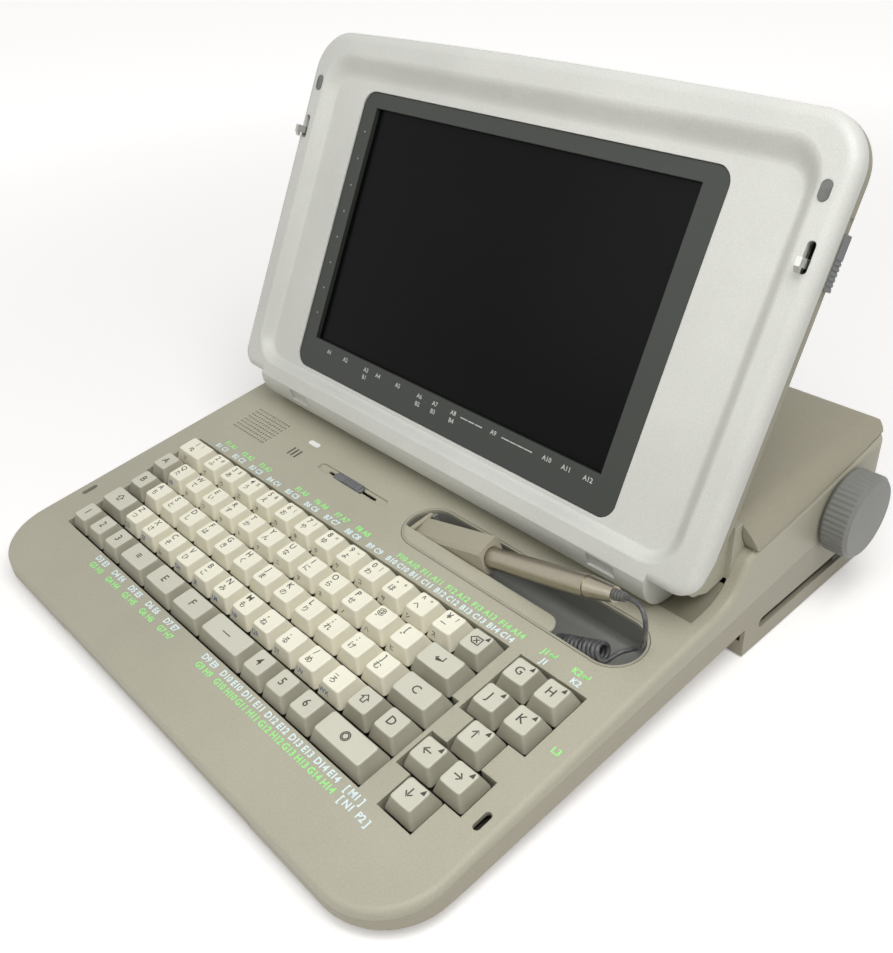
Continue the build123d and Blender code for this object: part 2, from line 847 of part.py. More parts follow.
def above_deck(edge):
    return deck.to_local_coords(edge @ 0.5).Z > -part_gap


def on_outer_wall(edge):
    """True for an edge that lies on the case's outline as seen from above."""
    middle = edge @ 0.5
    side = abs(middle.X - mid_x)
    front = middle.Y - front_y
    corner_x = side - (half_width - front_corner_radius)
    corner_y = front_corner_radius - front
    if corner_x > 0 and corner_y > 0:
        return math.hypot(corner_x, corner_y) > front_corner_radius - wall / 5
    return side > half_width - wall / 5 or front < wall / 5


def opening_y():
    """Where the deck ends and the trough of the hinge begins."""
    return hinge.Y - math.sqrt(trough_radius ** 2 - (hinge.Z - deck_height(hinge.Y - 8.0)) ** 2)


def towers():
    profile = tower_profile()
    foot_y = hinge.Y + tower_foot
    bridge_section = profile & Pos(foot_y + far / 4, hinge.Z) * Rectangle(far / 2, far)
    both = None
    for side in (-1, 1):
        low = mid_x + (tower_inner if side > 0 else -tower_outer)
        lobe = bar(profile, low, low + tower_width)
        bridge_low = mid_x + (tower_outer if side > 0 else -cheek_inner - 1)
        lobe = lobe + bar(bridge_section, bridge_low, bridge_low + recess_margin + 1)
        grip = mid_x + side * (tower_inner + pin_grip / 2)
        lobe = lobe - rod(pin_radius, grip - pin_grip / 2, grip + pin_grip / 2, hinge.Y, hinge.Z)
        both = lobe if both is None else both + lobe
    return both


def screw_column(x, y):
    """A boss that takes a screw, down to its pillar in the lower case."""
    low = floor_at(y) + wall + pillar_height
    if y < printer_y:
        high = deck_height(y) - wall / 2
        column = Pos(mid_x + x, y, (low + high) / 2) * Cylinder(screw_boss, high - low)
    else:
        high = seam_rear_height + wall * 4
        column = Pos(mid_x + x, y, (low + high) / 2) * Cylinder(screw_boss, high - low)
        side = 1 if x > 0 else -1
        rib_x = mid_x + side * (abs(x) + half_width - wall / 2) / 2
        rib = block(half_width - wall / 2 - abs(x), rib_sheet, high - seam_rear_height,
                    rib_x, y, seam_rear_height)
        column = column + rib
    bore_top = low - pillar_height + screw_length + 1
    bore = Pos(mid_x + x, y, (low + bore_top) / 2) * Cylinder(screw_radius, bore_top - low)
    return column - bore


def speaker_holes():
    holes = None
    for column in range(speaker_columns):
        for row in range(speaker_rows):
            x = speaker_x + (column - (speaker_columns - 1) / 2) * speaker_pitch_x
            y = speaker_back + (row - (speaker_rows - 1) / 2) * speaker_pitch_y
            hole = Pos(x, y) * Circle(speaker_hole)
            holes = hole if holes is None else holes + hole
    return deck_cut(holes, -wall * 2, wall)


def contrast_recess_cut():
    place = Pos(contrast_x, contrast_back)
    recess = deck_cut(place * SlotOverall(contrast_length, contrast_width), -contrast_recess, wall)
    slot = place * SlotOverall(contrast_slot_length, contrast_slot)
    return recess + deck_cut(slot, -wall * 2, wall)


def lamp_shapes(gap):
    """Three slits and a rounded window in the deck."""
    shape = Pos(lamp_x, lamp_back) * SlotOverall(lamp_width + 2 * gap, lamp_length + 2 * gap)
    for step in (-1, 0, 1):
        slit = Pos(slit_x + step * slit_pitch, slit_back)
        shape = shape + slit * Rectangle(slit_width + 2 * gap, slit_length + 2 * gap)
    return shape


def lamp_cut():
    return deck_cut(lamp_shapes(fit_gap), -wall * 2, wall)


def cover_axis():
    return (rear_y - cover_axis_in, wall_top(rear_y) - cover_axis_down)


def cover_lugs():
    """Two lugs on the rear wall, outside the cover's ears, with bores for their pins."""
    y, z = cover_axis()
    lugs = None
    for side in (-1, 1):
        inner = side * (cover_ear + cover_ear_width / 2 + lug_gap)
        outer = inner + side * (cover_pin_length + wall)
        x = mid_x + (inner + outer) / 2
        width = abs(outer - inner)
        depth = lug_depth + wall
        top = wall_top(rear_y - depth)
        lug = block(width, depth, lug_height, x, rear_y - depth / 2, top - lug_height)
        lugs = lug if lugs is None else lugs + lug
    return lugs


def cover_notches():
    y, z = cover_axis()
    low = z - cover_ear_radius - lug_gap
    cuts = None
    for side in (-1, 1):
        width = cover_ear_width + 2 * lug_gap
        notch = block(width, wall * 4, far / 10, mid_x + side * cover_ear, rear_y, low)
        start = side * (cover_ear + cover_ear_width / 2)
        end = start + side * (cover_pin_length + lug_gap * 2)
        bore = rod(cover_pin + fit_gap, mid_x + min(start, end), mid_x + max(start, end), y, z)
        cuts = notch + bore if cuts is None else cuts + notch + bore
    return cuts


def knob_hole():
    axis_y = rear_y - knob_back
    return rod(shaft_radius + part_gap, right_x - wall * 2, right_x + wall, axis_y, knob_height)


# ------------------------------------------------------------------ feet, screws, handle
def rubber_feet():
    feet = []
    for x, y in foot_places:
        height = floor_at(y) + foot_seat
        feet.append(Pos(mid_x + x, y, height / 2) * Cylinder(foot_radius, height))
    return Compound(children=feet)


def case_screws():
    screws = []
    for x, y in screw_places:
        seat = floor_at(y) + pillar_height
        head = Pos(0, 0, seat - screw_head_height / 2) * Cylinder(screw_head, screw_head_height)
        head = head - Pos(0, 0, seat - screw_head_height) * Box(screw_head, 0.8, 1.6)
        head = head - Pos(0, 0, seat - screw_head_height) * Box(0.8, screw_head, 1.6)
        shaft = Pos(0, 0, seat + screw_length / 2) * Cylinder(screw_radius - fit_gap, screw_length)
        screws.append(Pos(mid_x + x, y, 0) * (head + shaft))
    return Compound(children=screws)


def carry_handle():
    """A bar in the front edge on two flat arms that slide out from under the keyboard."""
    low = base_clearance
    x = mid_x + handle_left + handle_width / 2
    grip = block(handle_width, handle_bar, handle_height, x, front_y + handle_bar / 2, low)
    upright = grip.edges().filter_by(Axis.X)
    grip = fillet(upright, 1.0)
    sheet_low = base_clearance + wall
    end = front_y + handle_depth + wall + handle_pull + handle_stop
    arms = handle_arms(0, sheet_low, sheet_low + handle_sheet, front_y + handle_bar / 2, end)
    stops = handle_arms(handle_stop, sheet_low, sheet_low + handle_sheet, end - handle_stop, end)
    return grip + arms + stops


# ------------------------------------------------------------------ hinge
def hinge_spine():
    """The trough behind and under the neck of the lid, with a lip that closes the case."""
    start = math.degrees(math.atan2(deck_height(opening_y()) - hinge.Z, opening_y() - hinge.Y))
    outer = trough_radius + trough_wall
    nose = tower_outline[-1]
    profile = poly(*[at_hinge(radius, angle) for radius, angle in tower_outline])
    ring = round_hinge(outer, start, 360 + nose[1])
    bore = Pos(hinge.Y, hinge.Z) * Circle(trough_radius)
    pocket_back = [at_hinge(radius - wall, angle) for radius, angle in tower_back]
    hollow = poly(at_hinge(hinge_rise, -25), at_hinge(29.0, -25), *pocket_back[:4], at_hinge(hinge_rise, 30))
    lobe = profile - hollow
    middle = (ring + lobe) - bore
    spine = bar(middle, mid_x - neck_half - 1.5, mid_x + neck_half + 1.5)
    wing = round_hinge(outer, start, 325.0) - bore
    wing_end = cheek_inner - part_gap
    spine = spine + bar(wing, mid_x - wing_end, mid_x + wing_end)
    drop = deck_thickness_down()
    edge = opening_y() + part_gap
    before = opening_y() - wall * 4
    sheet = poly(
        (before, deck_height(before) - drop), (edge, deck_height(edge) - drop),
        (edge, deck_height(edge) + wall), (before, deck_height(before) + wall),
    )
    spine = spine - bar(sheet, left_x, right_x)
    face = poly(
        (opening_y() - 10.0, deck_height(opening_y() - 10.0) - drop),
        (opening_y(), deck_height(opening_y()) - drop),
        (opening_y() + 1.5, deck_height(opening_y()) - drop - wall),
        (opening_y() - 10.0, deck_height(opening_y() - 10.0) - drop - wall),
    )
    return spine + bar(face, mid_x - wing_end, mid_x + wing_end)


def hinge_pins():
    pins = []
    for side in (-1, 1):
        inner = mid_x + side * (neck_half - pin_grip)
        outer = mid_x + side * (tower_inner + pin_grip)
        pins.append(rod(pin_radius, min(inner, outer), max(inner, outer), hinge.Y, hinge.Z))
    return Compound(children=pins)


# ------------------------------------------------------------------ keyboard
def keyboard_plate():
    """The plate that the stems run in, with a rim down to the membrane."""
    plate = wells(plate_margin, -skirt_depth - plate_thickness, -skirt_depth)
    rim = wells(plate_margin, -membrane_depth, -skirt_depth)
    rim = rim - wells(plate_margin - plate_thickness, -membrane_depth - 1, -skirt_depth + 1)
    side = key_stem + 2 * stem_gap
    holes = Sketch() + [Pos(x, y) * Rectangle(side, side) for x, y, width in all_cells()]
    return plate + rim - deck_cut(holes, -membrane_depth, 0)


def key_membrane():
    return wells(plate_margin, -membrane_depth - membrane_thickness, -membrane_depth)


# ------------------------------------------------------------------ boards and power
def main_board():
    """A circuit board with its chips, on four pillars under the pen's tray."""
    low = base_clearance + wall + pillar_height
    board = block(board_width, board_depth, board_sheet, mid_x, board_y, low)
    top = low + board_sheet
    for x, width in ((-110.0, 22.0), (-60.0, 30.0), (-15.0, 24.0), (60.0, 18.0), (110.0, 26.0)):
        board = board + block(width, 14.0, 2.0, mid_x + x, board_y - 12.0, top)
    for x in (-130.0, -90.0, -50.0):
        board = board + Pos(mid_x + x, board_y + 18.0, top + 3.0) * Cylinder(4.0, 6.0)
    return board


def power_supply():
    low = rear_clearance + wall
    x = -half_width + wall * 2 + supply_width / 2
    y = printer_y + wall * 4 + supply_depth / 2
    box = block(supply_width, supply_depth, supply_height, mid_x + x, y, low)
    vents = None
    for step in range(8):
        vent_x = mid_x + x - supply_width / 4 + step * supply_width / 16
        vent = block(2.5, supply_depth / 2, 2.0, vent_x, y, low + supply_height - 1.5)
        vents = vent if vents is None else vents + vent
    return fillet(box.edges().filter_by(Axis.Z), 3.0) - vents


def power_inlet():
    """A mains inlet: a shroud in the rear wall with two round pins."""
    x = mid_x + inlet_x
    y = rear_y - inlet_depth / 2
    low = port_height - inlet_height / 2
    shroud = block(inlet_width, inlet_depth, inlet_height, x, y, low)
    hollow = block(inlet_width - 2 * wall, inlet_depth - wall, inlet_height - 2 * wall,
                   x, y + wall / 2, low + wall)
    shroud = shroud - hollow
    for side in (-1, 1):
        pin = Pos(x + side * 4.4, rear_y - inlet_depth + inlet_pin / 2, port_height) * Rot(90, 0, 0)
        shroud = shroud + pin * Cylinder(1.2, inlet_pin)
    flange = block(inlet_width + 6.0, wall, inlet_height + 6.0, x, rear_y - wall * 1.5,
                   port_height - inlet_height / 2 - 3.0)
    opening = block(inlet_width - 2 * wall, wall * 3, inlet_height - 2 * wall,
                    x, rear_y - wall, low + wall)
    return shroud + (flange - opening)


def power_switch():
    """A rocker in a frame in the rear wall, drawn with its lower half pressed in."""
    x = mid_x + switch_x
    rocker = block(switch_width - part_gap, 6.0, switch_height - 1.0, 0, 0, -switch_height / 2 + 0.5)
    rocker = fillet(rocker.edges().filter_by(Axis.X), 1.2)
    rocker = rocker + rod(switch_pin, -switch_width / 2 - switch_pin_length,
                          switch_width / 2 + switch_pin_length, 0, 0)
    return Pos(x, rear_y - switch_in, port_height) * Rot(switch_tilt / 2, 0, 0) * rocker


def switch_frame():
    """The frame that the rocker turns in, behind the rear wall."""
    x = mid_x + switch_x
    y = rear_y - wall
    depth = switch_in + 3.0 - wall
    outer_w = switch_width + 2 * part_gap + 2 * wall
    outer_h = switch_height + 2 * part_gap + 2 * wall
    frame = block(outer_w, depth, outer_h, x, y - depth / 2, port_height - outer_h / 2)
    inner_h = switch_height + 2 * part_gap
    inner_w = switch_width + 2 * part_gap
    frame = frame - block(inner_w, depth * 3, inner_h, x, y, port_height - inner_h / 2)
    reach = switch_width / 2 + switch_pin_length + part_gap
    return frame - rod(switch_pin + fit_gap, x - reach, x + reach, rear_y - switch_in, port_height)


# ------------------------------------------------------------------ printer
def printer_frame():
    """A tray with two side plates that carry the platen's shaft and the carriage's rail."""
    y = printer_y + wall * 3
    depth = rear_y - wall * 3 - y
    low = printer_floor_height - wall
    frame = block(printer_span, depth, wall, mid_x, y + depth / 2, low)
    axis_y = rear_y - knob_back
    plate_y = axis_y - rail_ahead / 2
    for side in (-1, 1):
        x = mid_x + side * (printer_span - side_plate) / 2
        plate = block(side_plate, rail_ahead + platen_radius * 2.5, printer_plate_rise,
                      x, plate_y, printer_floor_height)
        frame = frame + plate
    half = printer_span / 2 + 1
    frame = frame - rod(shaft_radius + fit_gap, mid_x - half, mid_x + half, axis_y, knob_height)
    rail_z = knob_height - rail_drop
    frame = frame - rod(rail_radius, mid_x - half, mid_x + half, axis_y - rail_ahead, rail_z)
    notch = block(inlet_width + 2 * part_gap, 2 * inlet_depth + wall, wall * 3,
                  mid_x + inlet_x, rear_y, low - wall)
    return frame - notch


def carriage_rail():
    half = printer_span / 2
    y = rear_y - knob_back - rail_ahead
    return rod(rail_radius, mid_x - half, mid_x + half, y, knob_height - rail_drop)


def print_head():
    """The carriage on its rail, with a nose that reaches to the platen."""
    y = rear_y - knob_back - rail_ahead
    z = knob_height - rail_drop
    x = mid_x + head_home
    body = block(head_width, head_depth, head_height, x, y, z - head_height / 2 + 2.0)
    body = fillet(body.edges().filter_by(Axis.Z), 2.0)
    nose_length = rail_ahead - platen_radius - head_depth / 2 - 1.0
    nose = block(head_width / 3, nose_length + 1.0, head_height / 3,
                 x, y + head_depth / 2 + (nose_length - 1.0) / 2, knob_height - head_height / 6)
    bore = rod(rail_radius + fit_gap, x - head_width, x + head_width, y, z)
    return body + nose - bore


def platen_roller():
    y = rear_y - knob_back
    half = platen_length / 2
    roller = rod(platen_radius, mid_x - half, mid_x + half, y, knob_height)
    shaft = rod(shaft_radius, mid_x - printer_span / 2, right_x + knob_reach - knob_rim,
                y, knob_height)
    return roller + shaft


def platen_knob():
    """A fluted knob outside the right wall, with a chamfered rim and a bore for the shaft."""
    points = []
    for step in range(knob_flutes * 2):
        radius = knob_radius - (step % 2) * knob_flute_depth
        turn = math.pi * step / knob_flutes
        points.append((radius * math.cos(turn), radius * math.sin(turn)))
    length = knob_reach - knob_gap
    fluted = extrude(make_face(Polyline(*points, close=True)), amount=length)
    blank = Cylinder(knob_radius, length, align=(Align.CENTER, Align.CENTER, Align.MIN))
    blank = chamfer(blank.edges().filter_by(GeomType.CIRCLE), knob_rim)
    bore = Cylinder(shaft_radius, length - knob_rim, align=(Align.CENTER, Align.CENTER, Align.MIN))
    knob = (fluted & blank) - bore
    return Pos(right_x + knob_gap, rear_y - knob_back, knob_height) * Rot(0, 90, 0) * knob


def printer_cover():
    cover = cover_block(0) - cover_block(wall)
    slot_y = rear_y - paper_slot_back
    cover = cover - block(paper_slot_length, paper_slot_width, far / 10, mid_x, slot_y,
                          printer_height - wall * 3)
    y, z = cover_axis()
    top = wall_top(rear_y) + cover_gap + wall
    ears = None
    for side in (-1, 1):
        x = mid_x + side * cover_ear
        low, high = x - cover_ear_width / 2, x + cover_ear_width / 2
        ear = rod(cover_ear_radius, low, high, y, z)
        ear = ear + block(cover_ear_width, 2 * cover_ear_radius, top - z, x, y, z)
        start = side * (cover_ear + cover_ear_width / 2 - 1)
        end = start + side * (cover_pin_length + 1)
        ear = ear + rod(cover_pin, mid_x + min(start, end), mid_x + max(start, end), y, z)
        ears = ear if ears is None else ears + ear
    return cover + ears


# ------------------------------------------------------------------ disk drive
def floppy_drive():
    low = rear_clearance + wall
    x = drive_face - drive_depth / 2
    drive = block(drive_depth, drive_width, drive_height, x, drive_y, low)
    slot = block(disk_depth, disk_width, disk_height, drive_face - disk_depth / 2, drive_y, disk_low)
    axle_z = disk_low + disk_height - flap_sheet
    reach = disk_width / 2 + flap_sheet
    bore = Pos(drive_face - flap_sheet, drive_y, axle_z) * Rot(90, 0, 0)
    bore = bore * Cylinder(flap_sheet / 2 + fit_gap, 2 * reach)
    button = block(eject_length * 2, eject_width + 0.5, eject_height + 0.4,
                   drive_face, eject_y, eject_low - 0.2)
    return drive - slot - bore - button


def drive_flap():
    """The flap in the disk slot, hinged at its upper edge on two short pins."""
    axle_z = disk_low + disk_height - flap_sheet
    x = drive_face - flap_sheet
    width = disk_width - 2 * part_gap
    height = axle_z - disk_low - part_gap
    flap = block(flap_sheet, width, height, x, drive_y, disk_low + part_gap)
    axle = Pos(x, drive_y, axle_z) * Rot(90, 0, 0)
    return flap + axle * Cylinder(flap_sheet / 2, disk_width + flap_sheet)


def eject_button():
    x = drive_face - eject_length / 2 + 1.0 + eject_travel / 2 - 1.0
    return block(eject_length - eject_travel, eject_width, eject_height, x + 1.0, eject_y, eject_low)


# ------------------------------------------------------------------ deck details
def speaker():
    cone = Pos(speaker_x, speaker_back, -wall - speaker_height / 2)
    return deck * cone * Cylinder(speaker_radius, speaker_height)


def lamp_window():
    low = -wall - lamp_flange
    light = deck_cut(lamp_shapes(0), -wall, 0)
    middle_y = (lamp_back + slit_back) / 2
    flange = Pos(lamp_x - 1.0, middle_y) * RectangleRounded(16.0, 26.0, 2.0)
    return light + deck_cut(flange, low, -wall)


def contrast_slider():
    """A ribbed thumb piece over a slot, with a foot below that holds it down."""
    place = Pos(contrast_x, contrast_back)
    top = contrast_recess * 0.8
    thumb = deck_cut(place * RectangleRounded(contrast_knob_length, contrast_width - 0.8, 1.0),
                     -contrast_recess, top)
    grooves = None
    for step in (-2, -1, 0, 1, 2):
        groove = deck_cut(place * Pos(step * 2.4, 0) * Rectangle(0.8, contrast_width), top - 0.5, wall)
        grooves = groove if grooves is None else grooves + groove
    stem = deck_cut(place * Rectangle(8.0, contrast_slot - 0.4), -wall - 1.5, -contrast_recess + 0.2)
    foot = deck_cut(place * Rectangle(10.0, contrast_width), -wall - 1.5, -wall - 0.2)
    return thumb - grooves + stem + foot


# ------------------------------------------------------------------ pen, its holder and cord
def tray_cavity(gap):
    """The inside of the pen's tray, shrunk by a gap."""
    low = -tray_depth + gap
    inside = extrude(stadium(tray_rim + gap), amount=-low + wall)
    inside = Pos(0, 0, low) * inside
    edges = inside.edges().group_by(Axis.Z)[0]
    return fillet(edges, tray_round)


def pen_pivot():
    return Pos(holder_left + pivot_in, pen_line, -pivot_down)


def raised():
    """The holder's resting place: turned up about its pivot."""
    return deck * pen_pivot() * Rot(0, -holder_rise, 0) * pen_pivot().inverse()


def pen_tray():
    low = -tray_depth - tray_rim
    shell = deck_cut(stadium(0), low, 0)
    flange = deck_cut(stadium(-wall), -wall * 1.8, -wall)
    tray = shell + flange - deck * tray_cavity(0)
    pivot_x = holder_left + pivot_in
    reach = holder_width / 2 + part_gap
    for side in (-1, 1):
        lug_y = pen_line + side * (reach + 2.0)
        lug = Pos(pivot_x, lug_y) * Rectangle(pivot_radius * 4.4, 4.0)
        tray = tray + deck * (Pos(0, 0, -pivot_down * 2.4) * extrude(lug, amount=pivot_down * 1.6)
                              & Pos(0, 0, -tray_depth) * extrude(stadium(0), amount=tray_depth))
    length = 2 * (reach + pivot_grip) + 2 * fit_gap
    bore = pen_pivot() * Rot(90, 0, 0) * Cylinder(pivot_radius + fit_gap, length)
    ledge_y = tray_front + tray_rim + 1.0
    ledge = Pos((tray_left + plate_right) / 2 + 10.0, ledge_y) * Rectangle(
        plate_right - tray_left - 24.0, 3.0)
    tray = tray + deck_cut(ledge, -plate_sheet - wall, -plate_sheet)
    way_out = Plane(origin=coil_end(), z_dir=coil_tangent(coil_turns))
    outlet = way_out * Cylinder(cord_diameter / 2 + part_gap, tray_round * 2)
    return tray - deck * bore - deck * outlet


def cord_cover():
    """The flush plate along the tray's front that the cord runs in under."""
    front = Pos(plate_right - far / 2, plate_back - far / 2) * Rectangle(far, far)
    sheet = stadium(tray_rim + fit_gap) & front
    corner = sheet.vertices().sort_by(lambda v: -v.X - v.Y)[0]
    sheet = fillet(corner, 7.0)
    return deck_cut(sheet, -plate_sheet, 0)


def pen_holder():
    """A sleeve for the pen with a slanted top, rounded at its left end to fit the tray."""
    half = holder_width / 2
    axis = (pen_line, -pen_depth)
    corners = [
        (-half, -holder_low + holder_corner), (-half + holder_corner, -holder_low),
        (half - holder_corner, -holder_low), (half, -holder_low + holder_corner),
        (half, holder_top - holder_corner), (half - holder_corner, holder_top),
        (-half + holder_corner, holder_top - holder_top_fall),
        (-half, holder_top - holder_top_fall - holder_corner),
    ]
    section = poly(*[(axis[0] + y, axis[1] + z) for y, z in corners])
    sleeve = bar(section, holder_left, holder_left + holder_length)
    sleeve = sleeve & tray_cavity(0.4)
    start = pen_tip - 1.0
    bore = rod(pen_radius + pen_bore_gap, start, far, axis[0], axis[1])
    reach = holder_width / 2 + part_gap + pivot_grip
    pivot = pen_pivot() * Rot(90, 0, 0) * Cylinder(pivot_radius, 2 * reach)
    return raised() * (sleeve - bore + pivot)


def pen():
    """A thick pen with a ring groove, tapering to its tail."""
    profile = [
        (pen_tip, 0), (pen_tip, pen_radius - 1.0), (pen_tip + 1.0, pen_radius),
        (pen_ring - pen_groove, pen_radius), (pen_ring - pen_groove, pen_radius - pen_groove),
        (pen_ring + pen_groove, pen_radius - pen_groove), (pen_ring + pen_groove, pen_radius),
        (pen_tail, pen_tail_radius), (pen_tail, 0),
    ]
    return raised() * on_pen_axis(profile)


def on_pen_axis(profile):
    """A turned shape from lengths along the pen and radii."""
    face = Plane.XZ * poly(*profile)
    return Pos(0, pen_line, -pen_depth) * revolve(face, Axis.X)


def pen_relief():
    """The ribbed sleeve where the cord leaves the pen."""
    step = relief_length / relief_ribs
    profile = [(pen_tail, 0)]
    for rib in range(relief_ribs):
        radius = relief_radius - rib * 0.2
        start = pen_tail + rib * step
        profile.append((start, radius))
        profile.append((start + step * 0.6, radius))
        profile.append((start + step * 0.6, radius - 0.5))
        profile.append((start + step, radius - 0.5))
    profile.append((pen_tail + relief_length, 0))
    return raised() * on_pen_axis(profile)


def on_coil(along, across, up):
    """A place in the coil's own frame: along its axis, to the rear, and up from the axis."""
    place = Pos(coil_left, coil_line, -coil_depth) * Rot(0, -coil_tilt, 0)
    return (place * Pos(along, across, up)).position


def coil_point(turns):
    """A place on the curly cord, in the deck's frame, counted in turns from its right end."""
    angle = 2 * math.pi * turns
    along = (coil_turns - turns) * coil_pitch
    return on_coil(along, coil_radius * math.cos(angle), -coil_radius * math.sin(angle))


def coil_tangent(turns):
    angle = 2 * math.pi * turns
    around = 2 * math.pi * coil_radius
    way = on_coil(-coil_pitch, -around * math.sin(angle), -around * math.cos(angle))
    return (way - on_coil(0, 0, 0)).normalized()


def coil_end():
    """Where the cord comes out under the tray's floor."""
    last = coil_point(coil_turns)
    way = coil_tangent(coil_turns)
    return last + way * ((-tray_depth - tray_rim - last.Z) / way.Z)


def arc_to(start, way, end):
    """An arc from a place along a direction to another place."""
    chord = end - start
    radius = chord.length / 2 / math.sin(math.radians(way.get_angle(chord)))
    side = way.cross(chord).cross(way).normalized()
    centre = start + side * radius
    outward = (start + chord * 0.5 - centre).normalized()
    return Edge.make_three_point_arc(start, centre + outward * radius, end)


def biarc(start, start_way, end, end_way):
    """Two arcs that join two places along two directions."""
    chord = end - start
    ways = start_way + end_way
    square = 2 * (1 - start_way.dot(end_way))
    along = chord.dot(ways)
    reach = (math.sqrt(along ** 2 + square * chord.dot(chord)) - along) / square
    joint = (start + start_way * reach + end - end_way * reach) * 0.5
    second = arc_to(end, end_way * -1, joint)
    return [
        arc_to(start, start_way, joint),
        Edge.make_three_point_arc(joint, second.position_at(0.5), end),
    ]


def tube(edges):
    path = Wire(edges)
    section = Plane(origin=path.position_at(0), z_dir=path.tangent_at(0)) * Circle(cord_diameter / 2)
    return deck * sweep(section, path=path)


def pen_coil():
    """The coiled stretch of the cord, which leaves through the tray's floor at its left end."""
    edges = []
    for step in range(int((coil_turns - coil_lead) * 4)):
        low = coil_lead + step / 4
        high = low + 1 / 4
        edges += biarc(coil_point(low), coil_tangent(low), coil_point(high), coil_tangent(high))
    edges.append(Edge.make_line(coil_point(coil_turns), coil_end()))
    return tube(edges)


def cord_points():
    """The route from the pen's tail to the coil, in the deck's frame."""
    swing = pen_pivot() * Rot(0, -holder_rise, 0) * pen_pivot().inverse()
    tail = pen_tail + relief_length
    start = (swing * Pos(tail, pen_line, -pen_depth)).position
    out = (swing * Pos(tail + cord_first, pen_line, -pen_depth)).position
    end = coil_point(coil_lead)
    before = end - coil_tangent(coil_lead) * cord_last
    return [start, out] + [Vector(*point) for point in cord_route] + [before, end]


def pen_cord():
    """The plain stretch of the cord, from the pen's tail to the coil."""
    points = cord_points()
    radii = []
    for before, at, after in zip(points, points[1:], points[2:]):
        turn = math.radians((at - before).get_angle(after - at))
        run = min((at - before).length, (after - at).length)
        radii.append(0.45 * run / math.tan(turn / 2))
    path = FilletPolyline(*points, radius=radii)
    cord = tube(path.edges())
    print("pen cord radii", [round(radius, 1) for radius in radii])
    print("pen cord volume", round(cord.volume, 1),
          "section by length", round(math.pi * cord_diameter ** 2 / 4 * path.length, 1))
    return cord


def least_coil_gap():
    """The curly cord's least gap to itself, measured on points half a turn or more apart."""
    samples = [coil_point(step / 48) for step in range(coil_turns * 48 + 1)]
    least = far
    for low, point in enumerate(samples):
        for other in samples[low + 24:]:
            least = min(least, (point - other).length)
    return least - cord_diameter


# ------------------------------------------------------------------ lid
def dish_outline(share, grow=0.0):
    """The dish at a share of the way from its floor to its mouth."""
    side = dish_side_slope * share
    low = dish_low - dish_low_slope * share - grow
    high = dish_high + dish_top_slope * share + grow
    width = 2 * (dish_half_width + side + grow)
    return Pos(0, (high + low) / 2) * RectangleRounded(width, high - low, dish_radius + side)


def dish(extra):
    """The hollow in the front of the lid: its slope bends softly into floor and rim."""
    sections = []
    for step in range(dish_steps + 1):
        share = step / dish_steps
        rise = dish_depth * share ** 2 * (3 - 2 * share)
        sections.append(Pos(0, 0, rise - dish_depth) * dish_outline(share))
    solid = loft(sections)
    return lid * (solid + extrude(dish_outline(1), amount=extra))


def screen_frame_place():
    middle_y = screen_frame_drop + screen_frame_height / 2
    return Pos(screen_frame_offset, middle_y)


def screen_place():
    return Pos(screen_offset, screen_drop + screen_height / 2)


def screen_bezel():
    """The lid's front with its dished face, and the neck that turns in the trough."""
    front = extrude(lid_outline(0), amount=bezel_depth)
    rim = front.faces().sort_by(Axis.Z)[-1].edges()
    front = fillet(rim, lid_front_radius)
    body = lid * Pos(0, 0, -bezel_depth) * front - toe_wedge(0)
    neck = lid_bar(neck_section(0, 0), -neck_half, neck_half)
    body = body + neck
    ring = extrude(lid_outline(wall), amount=far)
    ring = ring - extrude(dish_outline(1, wall), amount=far)
    channel = lid * Pos(0, 0, -channel_depth - far) * ring - toe_wedge(wall)
    toe_keep = lid * block(2 * neck_half + 2 * wall, far, far, 0,
                           knuckle_radius - axis_drop - far / 2, -far / 2)
    body = body - (channel - toe_keep)
    room_half = neck_half - pin_wall
    room = lid_bar(neck_section(neck_wall, bezel_depth), -room_half, room_half)
    for side in (-1, 1):
        grip = mid_x + side * (neck_half - pin_grip / 2)
        inner = grip - side * (pin_grip / 2 + 1)
        outer = grip + side * pin_grip
        room = room - rod(pin_radius + wall + 1, min(inner, outer), max(inner, outer),
                          hinge.Y, hinge.Z)
    body = body - room
    body = body - lid * block(cable_width, wall * 4, cable_height, 0,
                              knuckle_radius - axis_drop, -lid_thickness + wall * 1.5)
    body = body - dish(wall)
    body = body - lid_sheet(screen_frame_place() * RectangleRounded(
        screen_frame_width, screen_frame_height, screen_frame_radius), 0, bezel_depth + 1)
    for side in (-1, 1):
        grip = mid_x + side * (neck_half - pin_grip / 2)
        start = min(grip - side * pin_grip / 2, grip + side * pin_grip)
        end = max(grip - side * pin_grip / 2, grip + side * pin_grip)
        body = body - rod(pin_radius + fit_gap, start - fit_gap, end, hinge.Y, hinge.Z)
        slot = Pos(side * hook_side, hook_slot_middle()) * SlotOverall(
            hook_slot_length, hook_slot_width, 90)
        body = body - lid_sheet(slot, -wall, bezel_depth)
        seat = Pos(side * bumper_side, bumper_up) * SlotOverall(bumper_length, bumper_width, 90)
        body = body - lid_sheet(seat, -wall, bumper_seat)
    for place in neck_marks:
        mark = round_hinge(neck_radius + 1, 180.0, 200.0) - Pos(hinge.Y, hinge.Z) * Circle(
            neck_radius - mark_depth)
        body = body - bar(mark, mid_x + place - mark_width / 2, mid_x + place + mark_width / 2)
    return body


def hook_slot_middle():
    return hook_up + latch_travel / 2 + 0.5


